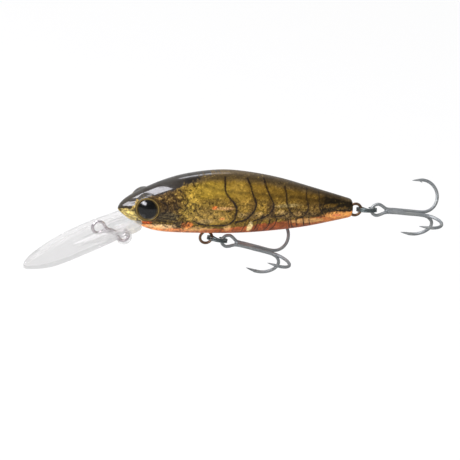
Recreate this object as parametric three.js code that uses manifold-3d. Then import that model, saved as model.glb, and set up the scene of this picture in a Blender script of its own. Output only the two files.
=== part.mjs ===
import * as THREE from 'three';
import { mergeVertices } from 'three/addons/utils/BufferGeometryUtils.js';
import Module from 'manifold-3d';

// Deep-diving crankbait lure, in millimetres.
// +X runs from the head to the tail and +Z is up. The left side faces -Y.
// The origin is the centre of the line tie's front loop.

// Body: a clear moulded shell in two halves
const noseX = 5.1;              // front of the nose, behind the line tie
const bodyLength = 69.2;
const backHeight = 17.4;        // highest point of the back
const bellyDepth = 1.4;         // lowest point of the belly, below the origin
const bodyWidth = 12.2;
const wall = 1.2;
const partingGap = 0.04;        // glue line between the two halves
const headSolidLength = 14.5;   // the head is solid this far back from the nose
const tailSolidLength = 8;      // the tail is solid this far forward from its end

// Diving lip: a clear plate with a keel and a boss under it
const lipReach = 21.3;          // from the origin forward to the tip
const lipHalfWidth = 8.35;
const lipThickness = 1.3;
const lipDrop = 1.05;           // the plate's top face lies this far under the origin
const lipSlope = 0.455;         // rise over run of the plate at the origin
const lipCamber = 0.0032;       // the plate steepens towards its tip
const lipTipLift = 0.45;        // and its last quarter turns up again
const lipTipThickness = 0.75;
const tongueHalfWidth = 2.6;
const tongueEndX = 16.5;
const keelWidth = 2.5;
const bossRadius = 1.95;
const lipClearance = 0.06;

// Wires: line tie, belly hanger and tail hanger
const tieWire = 0.9;
const tieFrontRadius = 1.75;    // to the middle of the wire
const tieRearRadius = 1.05;
const tieRear = new THREE.Vector3(7.5, 0, -2.56);
const hangerWire = 0.8;
const hangerLoopRadius = 1.75;
const hangerInnerRadius = 1.15;
const hangerLength = 6.4;       // between the centres of its two loops
const wireClearance = 0.05;
const neckGap = 0.05;           // between the two strands of a neck
const neckShoulder = 0.2;       // room where the two strands part
const bellyHangerX = 31.9;
const bellyHangerDrop = 1.7;    // the loop's centre, below the belly
const tailHangerZ = 5.5;
const tailHangerReach = 1.1;    // the loop's centre, behind the tail

// Eyes
const eyeX = 12.7;
const eyeZ = 7.2;
const eyeRadius = 2.8;
const eyeDiscThickness = 0.3;
const eyeDomeHeight = 0.8;
const eyeTurn = THREE.MathUtils.degToRad(19);   // the eyes look slightly forward
const eyeLift = THREE.MathUtils.degToRad(6);    // and slightly up
const socketDepth = 0.8;
const socketClearance = 0.06;
const browWidth = 0.55;
const browRise = 0.4;

// Inside: foil liners, ballast and the transfer weight
const foilThickness = 0.2;
const foilClearance = 0.08;
const foilFrontX = 21;
const foilRearX = 63;
const foilLowZ = 6.2;
const ballRadius = 2.6;
const ballClearance = 0.15;
const channelWall = 0.7;
const channelFrontX = 22;
const channelRearX = 48;
const channelZ = 8.4;
const webThickness = 1.6;
const ballastRadius = 1.7;
const ballastLength = 6;
const ballastX = 40.5;
const ballastZ = 1.9;
const ballastClearance = 0.08;
const hangerBlockWidth = 4.4;
const pinRadius = 0.8;
const pinLength = 1.6;
const pinClearance = 0.08;

// Split rings
const ringRadius = 2.65;        // to the middle of the wire
const ringWireWidth = 0.7;
const ringWireHeight = 0.54;
const ringPitch = 0.58;
const ringCrossover = THREE.MathUtils.degToRad(55);
const ringPlay = 0.0984;        // between the ring's wire and the inside of the hanger's loop
const bellyRingAngle = THREE.MathUtils.degToRad(9.5);
const tailRingAngle = THREE.MathUtils.degToRad(0.5);

// Treble hooks
const hookWire = 0.95;
const hookPlay = 0.05;          // between the eye and the corners of the ring's wire
const eyeLoopRadius = 1.75;     // to the middle of the wire
const strandGap = 0.0546;       // braze between two strands of the shank
const shankLength = 15.1;       // from the eye's front to the start of the bend
const bendRadius = 4.65;
const pointLength = 3.6;
const pointTurnIn = 0.45;       // the point leans towards the shank
const barbLength = 1.1;
const trebleRoll = THREE.MathUtils.degToRad(27.7);
const bellyTrebleAngle = THREE.MathUtils.degToRad(14.8);
const tailTrebleAngle = THREE.MathUtils.degToRad(5.4);

const tailX = noseX + bodyLength;
const wasm = await Module();
wasm.setup();

// Solids and meshes
function solid(geometry) {
  const bare = geometry.clone();
  bare.deleteAttribute('normal');
  bare.deleteAttribute('uv');
  const merged = mergeVertices(bare, 1e-4);
  return new wasm.Manifold(new wasm.Mesh({
    numProp: 3,
    vertProperties: new Float32Array(merged.attributes.position.array),
    triVerts: new Uint32Array(merged.index.array),
  }));
}

function geometryOf(manifold) {
  const mesh = manifold.getMesh();
  const geometry = new THREE.BufferGeometry();
  geometry.setAttribute('position', new THREE.BufferAttribute(mesh.vertProperties, 3));
  geometry.setIndex(new THREE.BufferAttribute(mesh.triVerts, 1));
  geometry.computeVertexNormals();
  return geometry;
}

function block(low, high) {
  const size = high.map((value, axis) => value - low[axis]);
  const middle = high.map((value, axis) => (value + low[axis]) / 2);
  return solid(new THREE.BoxGeometry(...size).translate(...middle));
}

function rodAlongX(radius, fromX, toX, y, z, sides = 20) {
  const rod = new THREE.CylinderGeometry(radius, radius, toX - fromX, sides);
  return solid(rod.rotateZ(Math.PI / 2).translate((fromX + toX) / 2, y, z));
}

function rodAlongY(radius, fromY, toY, x, z, sides = 16) {
  const rod = new THREE.CylinderGeometry(radius, radius, toY - fromY, sides);
  return solid(rod.translate(x, (fromY + toY) / 2, z));
}

// Body form: a sphere's rows are laid along the body, and its rings become sections
function profile(points) {
  return new THREE.SplineCurve(points.map(([x, value]) => new THREE.Vector2(x, value))).getPoints(400);
}

function valueAt(samples, share) {
  const next = samples.findIndex((sample) => sample.x >= share);
  if (next <= 0) {
    return next === 0 ? samples[0].y : samples[samples.length - 1].y;
  }
  const before = samples[next - 1];
  const after = samples[next];
  const mix = (share - before.x) / (after.x - before.x);
  return before.y + mix * (after.y - before.y);
}

// Each pair is a share of the length and a share of the full height or width
const midHeight = 5.7;          // the nose's height
const backProfile = profile([
  [0, 0], [0.004, 0.08], [0.018, 0.19], [0.045, 0.315], [0.1, 0.5], [0.2, 0.755], [0.3, 0.915],
  [0.43, 1], [0.55, 0.945], [0.68, 0.8], [0.8, 0.6], [0.9, 0.425], [0.965, 0.31], [0.992, 0.255], [1, 0.2],
]);
const bellyProfile = profile([
  [0, 0], [0.004, 0.06], [0.02, 0.2], [0.05, 0.41], [0.1, 0.68], [0.16, 0.875], [0.25, 0.965],
  [0.44, 1], [0.56, 0.97], [0.68, 0.875], [0.8, 0.73], [0.9, 0.54], [0.965, 0.4], [0.992, 0.33], [1, 0.26],
]);
const widthProfile = profile([
  [0, 0], [0.004, 0.13], [0.02, 0.32], [0.05, 0.52], [0.1, 0.7], [0.2, 0.9], [0.32, 0.99],
  [0.42, 1], [0.55, 0.95], [0.7, 0.8], [0.84, 0.58], [0.93, 0.43], [0.985, 0.36], [1, 0.3],
]);
const sectionPower = 2.15;      // a little fuller than an ellipse

function section(x) {
  const share = THREE.MathUtils.clamp((x - noseX) / bodyLength, 0, 1);
  const top = midHeight + (backHeight - midHeight) * valueAt(backProfile, share);
  const bottom = midHeight - (midHeight + bellyDepth) * valueAt(bellyProfile, share);
  return { top, bottom, halfWidth: bodyWidth / 2 * valueAt(widthProfile, share) };
}

function bodyForm(inset, rows = 36, sides = 24) {
  const geometry = new THREE.SphereGeometry(1, sides, rows);
  geometry.rotateZ(Math.PI / 2);
  const spots = geometry.attributes.position;
  for (let i = 0; i < spots.count; i += 1) {
    const along = THREE.MathUtils.clamp(spots.getX(i), -1, 1);
    const ring = Math.acos(-along) / Math.PI;
    const share = Math.min(1, (1 - Math.cos(ring * Math.PI)) / 2);
    const x = noseX + inset + share * (bodyLength - 2 * inset);
    const { top, bottom, halfWidth } = section(x);
    const angle = Math.atan2(spots.getZ(i), spots.getY(i));
    const isPole = Math.abs(along) > 0.99999;
    const height = isPole ? 0 : Math.max(0.02, (top - bottom) / 2 - inset);
    const width = isPole ? 0 : Math.max(0.02, halfWidth - inset);
    const across = Math.cos(angle);
    const up = Math.sin(angle);
    const reach = (Math.abs(across) ** sectionPower + Math.abs(up) ** sectionPower) ** (-1 / sectionPower);
    spots.setXYZ(i, x, width * reach * across, (top + bottom) / 2 + height * reach * up);
  }
  return solid(geometry);
}

// Wires
function wireSection(diameter, sides) {
  const corners = [];
  for (let i = 0; i < sides; i += 1) {
    const angle = 2 * Math.PI * (i + 0.5) / sides;
    corners.push(new THREE.Vector2(Math.cos(angle), Math.sin(angle)).multiplyScalar(diameter / 2));
  }
  return new THREE.Shape(corners);
}

function wire(points, diameter, steps, sides = 7) {
  const path = new THREE.CatmullRomCurve3(points, false, 'centripetal');
  return new THREE.ExtrudeGeometry(wireSection(diameter, sides), { steps, extrudePath: path });
}

// A figure-8 wire in the XZ plane: the outer loop is at the origin and the inner one on +X.
// Its two ends butt together in the middle of one neck strand.
function figureEightPoints(outerRadius, innerRadius, length, diameter) {
  const strand = (diameter + neckGap) / 2;
  const points = [];
  const middle = (outerRadius + length - innerRadius) / 2;
  points.push(new THREE.Vector3(middle + neckGap, 0, strand));
  points.push(new THREE.Vector3(length - innerRadius - 0.55, 0, strand));
  for (let turn = 142; turn >= -142; turn -= 28.4) {
    const angle = THREE.MathUtils.degToRad(turn);
    points.push(new THREE.Vector3(
      length + innerRadius * Math.cos(angle), 0, innerRadius * Math.sin(angle)));
  }
  points.push(new THREE.Vector3(length - innerRadius - 0.55, 0, -strand));
  points.push(new THREE.Vector3(outerRadius + 0.6, 0, -strand));
  for (let turn = -38; turn >= -322; turn -= 28.4) {
    const angle = THREE.MathUtils.degToRad(turn);
    points.push(new THREE.Vector3(outerRadius * Math.cos(angle), 0, outerRadius * Math.sin(angle)));
  }
  points.push(new THREE.Vector3(outerRadius + 0.6, 0, strand));
  points.push(new THREE.Vector3(middle - neckGap, 0, strand));
  return points;
}

// The space that a figure-8 wire needs, with a post left standing in its inner loop
function figureEightPocket(outerRadius, innerRadius, length, diameter, clearance) {
  const half = diameter / 2 + clearance;
  const neck = diameter + neckGap / 2 + clearance + neckShoulder;
  const outer = rodAlongY(outerRadius + half, -half, half, 0, 0, 24);
  const inner = rodAlongY(innerRadius + half, -half, half, length, 0, 24);
  const post = rodAlongY(innerRadius - half, -half - 1, half + 1, length, 0, 12);
  const strands = block([0, -half, -neck], [length, half, neck]);
  return outer.add(strands).add(inner).subtract(post);
}

// Lip
function tipShare(x) {
  return THREE.MathUtils.smoothstep(-x, 0.6 * lipReach, lipReach);
}

function plateTop(x) {
  return -lipDrop + lipSlope * x - lipCamber * x * x + lipTipLift * tipShare(x);
}

function lipOutline(grow) {
  const side = (lipHalfWidth + grow) / lipHalfWidth;
  const half = [
    [-lipReach - grow, 0], [-lipReach * 0.978, 1.25], [-lipReach * 0.925, 2.6], [-lipReach * 0.82, 4.8],
    [-lipReach * 0.66, 6.6], [-lipReach * 0.43, 7.95], [-lipReach * 0.12, lipHalfWidth],
    [1.5, lipHalfWidth - 0.15], [5, lipHalfWidth - 0.6], [9.4, lipHalfWidth - 0.55],
  ].map(([x, y]) => new THREE.Vector2(x, y * side));
  const edge = new THREE.SplineCurve(half).getPoints(40);
  edge.push(new THREE.Vector2(10.6 + grow, lipHalfWidth - 1.3 + grow));
  edge.push(new THREE.Vector2(11.2 + grow, lipHalfWidth - 2.8));
  edge.push(new THREE.Vector2(11.4 + grow, tongueHalfWidth + grow));
  edge.push(new THREE.Vector2(tongueEndX + grow, tongueHalfWidth + grow));
  const other = edge.slice(1).reverse().map((point) => new THREE.Vector2(point.x, -point.y));
  return new THREE.Shape(edge.concat(other));
}

function lipPlate(grow) {
  const fromX = -lipReach - 2;
  const length = tongueEndX + 2 - fromX;
  const bar = new THREE.BoxGeometry(length, 40, 1, 36, 1, 1);
  bar.translate(fromX + length / 2, 0, 0);
  const spots = bar.attributes.position;
  for (let i = 0; i < spots.count; i += 1) {
    const x = spots.getX(i);
    const tilt = Math.hypot(1, lipSlope - 2 * lipCamber * x);
    const upper = spots.getZ(i) > 0;
    const thickness = THREE.MathUtils.lerp(lipThickness, lipTipThickness, tipShare(x));
    spots.setZ(i, plateTop(x) + (upper ? grow : -thickness - grow) * tilt);
  }
  const prism = new THREE.ExtrudeGeometry(lipOutline(grow), { depth: 40, bevelEnabled: false });
  prism.translate(0, 0, -25);
  return solid(bar).intersect(solid(prism));
}

function lipKeel(grow) {
  const boss = tieRear;
  const half = keelWidth / 2 + grow;
  const front = -lipReach * 0.52;
  const shape = new THREE.Shape();
  shape.moveTo(front, plateTop(front) - lipThickness / 2);
  shape.quadraticCurveTo(-2, plateTop(-2) - 2.3, boss.x - 3.4, boss.z - 0.75);
  shape.quadraticCurveTo(boss.x - 2.4, boss.z - 0.7, boss.x - 1.4, boss.z - 1.35);
  shape.absarc(boss.x, boss.z, bossRadius + grow, Math.PI * 1.25, Math.PI * 2.28);
  shape.quadraticCurveTo(boss.x + 1.6, plateTop(boss.x) - 1.4, boss.x + 3, plateTop(boss.x + 3) - 0.7);
  shape.lineTo(9.2, plateTop(9.2) + 0.15 + grow);
  shape.quadraticCurveTo(7.6, plateTop(7.6) + 0.75 + grow, 5.4, plateTop(5.4) + 0.95 + grow);
  shape.quadraticCurveTo(3, plateTop(3) + 1.2 + grow, 1.2, plateTop(1.2) + 0.3);
  shape.lineTo(0.8, plateTop(0.8) - lipThickness / 2);
  const bar = new THREE.ExtrudeGeometry(shape, { depth: 2 * half, bevelEnabled: false, curveSegments: 7 });
  bar.rotateX(Math.PI / 2);
  bar.translate(0, half, 0);
  return solid(bar);
}

function lipSolid(grow) {
  return lipPlate(grow).add(lipKeel(grow));
}

// The space the lip needs in the head: the lip, a little thicker, and shifted down and back
function lipSpace(clearance) {
  const thick = lipSolid(clearance);
  return thick.add(thick.translate(0, 0, -clearance)).add(thick.translate(clearance, 0, 0));
}

// Places
const tieLength = tieRear.length();
const tieTurn = Math.atan2(-tieRear.z, tieRear.x);
const bellyLoop = new THREE.Vector3(bellyHangerX, 0, section(bellyHangerX).bottom - bellyHangerDrop);
const tailLoop = new THREE.Vector3(tailX + tailHangerReach, 0, tailHangerZ);

function placed(manifold, turnY, spot) {
  return manifold.rotate(0, THREE.MathUtils.radToDeg(turnY), 0).translate(spot.x, spot.y, spot.z);
}

const hangerSizes = [hangerLoopRadius, hangerInnerRadius, hangerLength, hangerWire];
const tieSizes = [tieFrontRadius, tieRearRadius, tieLength, tieWire];
const hangerSpace = figureEightPocket(...hangerSizes, wireClearance);
const bellySpace = placed(hangerSpace, -Math.PI / 2, bellyLoop);
const tailSpace = placed(hangerSpace, Math.PI, tailLoop);

// Eyes: a unit of disc and dome along its own axis, which points out of the head
function eyeFrame(side) {
  const outward = new THREE.Vector3(
    -Math.sin(eyeTurn), side * Math.cos(eyeTurn) * Math.cos(eyeLift), Math.sin(eyeLift)).normalize();
  const { top, bottom, halfWidth } = section(eyeX);
  const rise = Math.abs(eyeZ - (top + bottom) / 2) / ((top - bottom) / 2);
  const surface = halfWidth * (1 - rise ** sectionPower) ** (1 / sectionPower);
  const turn = new THREE.Quaternion().setFromUnitVectors(new THREE.Vector3(0, 1, 0), outward);
  const floor = new THREE.Vector3(eyeX, side * surface, eyeZ).addScaledVector(outward, -socketDepth);
  return { turn, floor };
}

function eyePiece(geometry, frame) {
  const place = new THREE.Matrix4().compose(frame.floor, frame.turn, new THREE.Vector3(1, 1, 1));
  return solid(geometry.applyMatrix4(place));
}

function eyeSocket(frame) {
  const radius = eyeRadius + socketClearance;
  return eyePiece(new THREE.CylinderGeometry(radius, radius, 6, 32).translate(0, 3, 0), frame);
}

function eyeBrow(frame) {
  const inside = 1.5;
  const height = inside + socketDepth + browRise;
  const radius = eyeRadius + socketClearance + browWidth;
  const ring = new THREE.CylinderGeometry(radius - 0.2, radius + 0.1, height, 32);
  return eyePiece(ring.translate(0, height / 2 - inside, 0), frame);
}

// Body shell, whole: outside, hollow, webs, ball channel, hanger block, ballast seat and pins
const outside = bodyForm(0);
const hollow = bodyForm(wall).intersect(
  block([noseX + headSolidLength, -20, -20], [tailX - tailSolidLength, 20, 40]));
const channelRadius = ballRadius + ballClearance;
const channel = rodAlongX(
  channelRadius + channelWall, channelFrontX - webThickness, channelRearX + webThickness, 0, channelZ, 24);
const channelSpace = rodAlongX(channelRadius, channelFrontX, channelRearX, 0, channelZ, 24);
const webs = [channelFrontX - webThickness, channelRearX].map(
  (x) => block([x, -20, -20], [x + webThickness, 20, channelZ]));
const innerLoopTop = bellyLoop.z + hangerLength + hangerInnerRadius + hangerWire / 2;
const hangerBlock = block(
  [bellyLoop.x - hangerLoopRadius - 1.2, -hangerBlockWidth / 2, -20],
  [bellyLoop.x + hangerLoopRadius + 1.2, hangerBlockWidth / 2, Math.min(innerLoopTop + 0.8, channelZ)]);
const ballastSeat = block(
  [ballastX - ballastLength / 2 - 1, -ballastRadius - 1, -20],
  [ballastX + ballastLength / 2 + 1, ballastRadius + 1, ballastZ + ballastRadius + 0.9]);
const ballastSpace = rodAlongX(
  ballastRadius + ballastClearance,
  ballastX - ballastLength / 2 - ballastClearance,
  ballastX + ballastLength / 2 + ballastClearance, 0, ballastZ);
const insideWall = bodyForm(wall / 2);
const core = outside.subtract(hollow)
  .add(webs[0].add(webs[1]).add(hangerBlock).add(ballastSeat).add(channel).intersect(insideWall))
  .subtract(channelSpace)
  .subtract(ballastSpace)
  .subtract(bellySpace)
  .subtract(tailSpace);
const eyes = { left: eyeFrame(-1), right: eyeFrame(1) };
const shell = [eyes.left, eyes.right].reduce(
  (body, frame) => body.add(eyeBrow(frame)).subtract(eyeSocket(frame)), core)
  .subtract(lipSpace(lipClearance));

// Pins stand on the right half and enter sockets in the left half
const pinSpots = [
  [noseX + headSolidLength - 2, channelZ + 3], [noseX + headSolidLength - 2, channelZ - 6],
  [tailX - tailSolidLength + 1, tailHangerZ + 2.9], [channelRearX + webThickness / 2, channelZ - 6.5],
];
const pins = pinSpots.map(([x, z]) => rodAlongY(pinRadius, -pinLength, 1, x, z));
const sockets = pinSpots.map(
  ([x, z]) => rodAlongY(pinRadius + pinClearance, -pinLength - pinClearance, 1, x, z));
const leftHalf = block([-40, -40, -40], [140, -partingGap / 2, 60]);
const rightHalf = block([-40, partingGap / 2, -40], [140, 40, 60]);
const shellLeft = sockets.reduce((body, socket) => body.subtract(socket), shell.intersect(leftHalf));
const shellRight = pins.reduce((body, pin) => body.add(pin), shell.intersect(rightHalf));

const liner = bodyForm(wall + foilClearance)
  .subtract(bodyForm(wall + foilClearance + foilThickness))
  .intersect(block([foilFrontX, -20, foilLowZ], [foilRearX, 20, 40]))
  .subtract(channel.add(webs[0]).add(webs[1]));

const lip = lipSolid(0).subtract(
  placed(figureEightPocket(...tieSizes, wireClearance), tieTurn, new THREE.Vector3())
    .subtract(rodAlongY(tieFrontRadius - tieWire / 2 - wireClearance, -1, 1, 0, 0, 24)));

// Split ring: a straight bar rolled into two turns that cross over once. Its wire's corners
// lie inside the hanger's loop, and ringSeat is from the loop's centre to the wire's middle.
const loopInside = hangerLoopRadius - hangerWire / 2;
const ringStack = (ringPitch + ringWireHeight) / 2;
const ringSeat = Math.sqrt(loopInside ** 2 - ringStack ** 2) - ringWireWidth / 2 - ringPlay;

function splitRing() {
  const turns = 4 * Math.PI - ringCrossover;
  const bar = new THREE.BoxGeometry(turns, ringWireWidth, ringWireHeight, 52, 1, 1);
  const spots = bar.attributes.position;
  for (let i = 0; i < spots.count; i += 1) {
    const angle = spots.getX(i) + turns / 2;
    const radius = ringRadius - spots.getY(i);
    const climb = THREE.MathUtils.smoothstep(angle, 2 * Math.PI - ringCrossover, 2 * Math.PI - 0.05);
    const place = angle + Math.PI / 2 + ringCrossover / 2;
    spots.setXYZ(
      i, ringSeat + ringRadius + radius * Math.cos(place), radius * Math.sin(place),
      spots.getZ(i) + ringPitch * (climb - 0.5));
  }
  return bar;
}

// Treble hook: its axis is X, its origin the middle of the ring's far wire, and its
// hooks stand at three even angles from +Z towards +Y
const shankSpread = (hookWire + strandGap) / Math.sqrt(3);   // each strand, from the hook's axis
const ringReach = Math.hypot(ringWireWidth / 2, ringStack);
const eyeFront = -(ringReach + hookPlay + hookWire / 2);
const bendX = eyeFront + shankLength;

function around(angle, x, radius) {
  return new THREE.Vector3(x, radius * Math.sin(angle), radius * Math.cos(angle));
}

function bendPoints(angle) {
  const points = [];
  for (let turn = 0; turn <= 180; turn += 20) {
    const bend = THREE.MathUtils.degToRad(turn);
    points.push(around(
      angle, bendX + bendRadius * Math.sin(bend), shankSpread + bendRadius * (1 - Math.cos(bend))));
  }
  return points;
}

function eyeLoopPoints(angle, centreAngle) {
  const shoulder = eyeLoopRadius + eyeFront;
  const half = [
    [shoulder + 2.55, shankSpread + 0.04], [shoulder + 1.75, 1.02], [shoulder + 0.9, 1.5],
    [shoulder, eyeLoopRadius], [shoulder - 1.2, eyeLoopRadius * 0.72],
  ];
  const upper = half.map(([x, out]) => around(angle, x, out));
  const lower = half.map(([x, out]) => around(angle + Math.PI, x, out)).reverse();
  const bridge = around(centreAngle, eyeFront, 0);
  return upper.concat([bridge], lower);
}

function hookPoint(angle) {
  const start = around(angle, bendX + 0.3, shankSpread + 2 * bendRadius);
  const end = around(angle, bendX + 0.3 - pointLength, shankSpread + 2 * bendRadius - pointTurnIn);
  const along = end.clone().sub(start);
  const spike = new THREE.ConeGeometry(hookWire / 2, along.length(), 8).translate(0, along.length() / 2, 0);
  spike.applyQuaternion(new THREE.Quaternion().setFromUnitVectors(
    new THREE.Vector3(0, 1, 0), along.clone().normalize()));
  spike.translate(start.x, start.y, start.z);
  const root = around(angle, bendX - 0.5, shankSpread + 2 * bendRadius - 0.1);
  const tip = around(angle, bendX - 0.5 + barbLength, shankSpread + 2 * bendRadius - hookWire * 0.95);
  const lean = tip.clone().sub(root);
  const barb = new THREE.ConeGeometry(hookWire * 0.3, lean.length(), 5).translate(0, lean.length() / 2, 0);
  barb.applyQuaternion(new THREE.Quaternion().setFromUnitVectors(
    new THREE.Vector3(0, 1, 0), lean.clone().normalize()));
  barb.translate(root.x, root.y, root.z);
  return solid(spike).add(solid(barb));
}

// Two of the hooks and the eye are one wire, and the third hook is brazed against them
function trebleDouble() {
  const upper = trebleRoll;
  const lower = trebleRoll + 2 * Math.PI / 3;
  const plane = trebleRoll - Math.PI / 6;
  const points = bendPoints(upper).reverse();
  points.push(around(upper, bendX * 0.72, shankSpread));
  points.push(around(upper, bendX * 0.44, shankSpread));
  points.push(...eyeLoopPoints(plane, plane));
  points.push(around(lower, bendX * 0.44, shankSpread));
  points.push(around(lower, bendX * 0.72, shankSpread));
  points.push(...bendPoints(lower));
  return solid(wire(points, hookWire, 72)).add(hookPoint(upper)).add(hookPoint(lower));
}

function trebleSingle() {
  const angle = trebleRoll - 2 * Math.PI / 3;
  const points = [around(angle, bendX * 0.3, shankSpread), around(angle, bendX * 0.65, shankSpread)];
  points.push(...bendPoints(angle));
  return solid(wire(points, hookWire, 30)).add(hookPoint(angle));
}

const eyeDisc = new THREE.CylinderGeometry(eyeRadius, eyeRadius, eyeDiscThickness, 28)
  .translate(0, eyeDiscThickness / 2 + socketClearance, 0);

function eyeDome() {
  const base = eyeDiscThickness + 2 * socketClearance;
  const rise = socketDepth - base;
  const ballSize = (eyeRadius ** 2 + eyeDomeHeight ** 2) / (2 * eyeDomeHeight);
  const outline = [new THREE.Vector2(0, base), new THREE.Vector2(eyeRadius, base)];
  for (let step = 0; step <= 6; step += 1) {
    const radius = eyeRadius * (1 - step / 6);
    outline.push(new THREE.Vector2(
      radius, base + rise + Math.sqrt(ballSize ** 2 - radius ** 2) - ballSize + eyeDomeHeight));
  }
  return new THREE.LatheGeometry(outline, 28);
}

// Materials
const clearPlastic = { color: 0xeef0ee, roughness: 0.05, metalness: 0 };
const goldBody = { color: 0x8a6a32, roughness: 0.25, metalness: 0.4 };
const eyeBlack = { color: 0x151513, roughness: 0.3, metalness: 0 };
const foil = { color: 0xc9a24a, roughness: 0.2, metalness: 1 };
const bronze = { color: 0x8a6a4a, roughness: 0.3, metalness: 1 };
const chrome = { color: 0xd8d4d6, roughness: 0.12, metalness: 1 };
const darkNickel = { color: 0x4d5254, roughness: 0.25, metalness: 1 };
const hookSteel = { color: 0x909394, roughness: 0.35, metalness: 1 };
const brass = { color: 0xb08d4a, roughness: 0.35, metalness: 1 };
const tungsten = { color: 0x6a6c70, roughness: 0.3, metalness: 1 };

const lure = new THREE.Group();

function piece(name, geometry, look, parent = lure) {
  const mesh = new THREE.Mesh(geometry, new THREE.MeshStandardMaterial(look));
  mesh.name = name;
  parent.add(mesh);
  return mesh;
}

piece('body_shell_left', geometryOf(shellLeft), goldBody);
piece('body_shell_right', geometryOf(shellRight), goldBody);
piece('diving_lip', geometryOf(lip), clearPlastic);
piece('foil_liner_left', geometryOf(liner.intersect(leftHalf)), foil);
piece('foil_liner_right', geometryOf(liner.intersect(rightHalf)), foil);
piece('line_tie_wire', wire(figureEightPoints(...tieSizes), tieWire, 48), chrome).rotation.y = tieTurn;

const bellyHanger = piece('belly_hanger_wire', wire(figureEightPoints(...hangerSizes), hangerWire, 48), bronze);
bellyHanger.position.copy(bellyLoop);
bellyHanger.rotation.y = -Math.PI / 2;
const tailHanger = piece('tail_hanger_wire', wire(figureEightPoints(...hangerSizes), hangerWire, 48), bronze);
tailHanger.position.copy(tailLoop);
tailHanger.rotation.y = Math.PI;

for (const [side, frame] of Object.entries(eyes)) {
  const disc = piece(`eye_disc_${side}`, eyeDisc, eyeBlack);
  const dome = piece(`eye_dome_${side}`, eyeDome(), clearPlastic);
  for (const part of [disc, dome]) {
    part.position.copy(frame.floor);
    part.quaternion.copy(frame.turn);
  }
}

const ballast = new THREE.CylinderGeometry(ballastRadius, ballastRadius, ballastLength, 20).rotateZ(Math.PI / 2);
piece('belly_ballast', ballast, brass).position.set(ballastX, 0, ballastZ);
const ballStart = (channelFrontX + channelRearX) / 2;
piece('transfer_ball', new THREE.SphereGeometry(ballRadius, 18, 12), tungsten)
  .position.set(ballStart, 0, channelZ);

const hangs = [
  ['belly', bellyLoop, bellyRingAngle, bellyTrebleAngle],
  ['tail', tailLoop, tailRingAngle, tailTrebleAngle],
];
for (const [place, loop, ringAngle, trebleAngle] of hangs) {
  const ringGroup = new THREE.Group();
  ringGroup.position.copy(loop);
  ringGroup.rotation.y = ringAngle;
  lure.add(ringGroup);
  piece(`${place}_split_ring`, splitRing(), darkNickel, ringGroup);
  const trebleGroup = new THREE.Group();
  trebleGroup.position.x = ringSeat + 2 * ringRadius;
  trebleGroup.rotation.y = trebleAngle - ringAngle;
  ringGroup.add(trebleGroup);
  piece(`${place}_treble_double`, geometryOf(trebleDouble()), hookSteel, trebleGroup);
  piece(`${place}_treble_single`, geometryOf(trebleSingle()), hookSteel, trebleGroup);
}

export default lure;
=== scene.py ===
# Deep-diving crankbait with a crayfish print: a lacquered body in two halves, a clear diving lip,
# and two trebles on split rings.
# Pieces are shaped in millimetres and brought to metres when they are finished.
import math
import bpy
import numpy as np
from mathutils import Matrix, Vector


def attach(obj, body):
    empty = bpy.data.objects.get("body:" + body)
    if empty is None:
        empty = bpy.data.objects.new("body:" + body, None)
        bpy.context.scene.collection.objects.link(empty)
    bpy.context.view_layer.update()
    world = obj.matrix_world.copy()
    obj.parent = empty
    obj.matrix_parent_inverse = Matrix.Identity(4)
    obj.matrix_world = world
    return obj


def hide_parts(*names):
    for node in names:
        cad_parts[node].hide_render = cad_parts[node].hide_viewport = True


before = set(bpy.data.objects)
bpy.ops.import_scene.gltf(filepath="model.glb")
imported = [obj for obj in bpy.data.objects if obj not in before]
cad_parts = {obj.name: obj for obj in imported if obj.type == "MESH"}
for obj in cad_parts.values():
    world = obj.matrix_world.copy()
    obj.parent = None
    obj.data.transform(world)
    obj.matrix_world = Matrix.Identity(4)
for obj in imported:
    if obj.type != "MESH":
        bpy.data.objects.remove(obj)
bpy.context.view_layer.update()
scene = bpy.context.scene
print("frame loaded")


# ---- small helpers

def clearSelection():
    if bpy.context.object and bpy.context.object.mode != "OBJECT":
        bpy.ops.object.mode_set(mode="OBJECT")
    bpy.ops.object.select_all(action="DESELECT")


def makeActive(*objects):
    clearSelection()
    for piece in objects:
        piece.select_set(True)
    bpy.context.view_layer.objects.active = objects[0]
    return objects[0]


def readPoints(piece):
    flat = np.zeros(len(piece.data.vertices) * 3)
    piece.data.vertices.foreach_get("co", flat)
    return flat.reshape(-1, 3)


def writePoints(piece, points):
    piece.data.vertices.foreach_set("co", np.ascontiguousarray(points, dtype=np.float32).ravel())
    piece.data.update()


def meshObject(name, points, faces):
    mesh = bpy.data.meshes.new(name)
    mesh.from_pydata([tuple(p) for p in points], [], faces)
    mesh.update()
    piece = bpy.data.objects.new(name, mesh)
    scene.collection.objects.link(piece)
    return piece


def applyModifier(piece, kind, **settings):
    makeActive(piece)
    modifier = piece.modifiers.new(kind.lower(), kind)
    for key, value in settings.items():
        setattr(modifier, key, value)
    bpy.ops.object.modifier_apply(modifier=modifier.name)


def cutAway(piece, tool, operation="DIFFERENCE"):
    applyModifier(piece, "BOOLEAN", operation=operation, object=tool, solver="MANIFOLD")


def discard(*objects):
    for piece in objects:
        bpy.data.objects.remove(piece)


def joinPieces(*objects):
    makeActive(*objects)
    bpy.ops.object.join()
    return objects[0]


def facesOutward(piece):
    makeActive(piece)
    bpy.ops.object.mode_set(mode="EDIT")
    bpy.ops.mesh.select_all(action="SELECT")
    bpy.ops.mesh.remove_doubles(threshold=0.0005)
    bpy.ops.mesh.normals_make_consistent(inside=False)
    bpy.ops.object.mode_set(mode="OBJECT")


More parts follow.
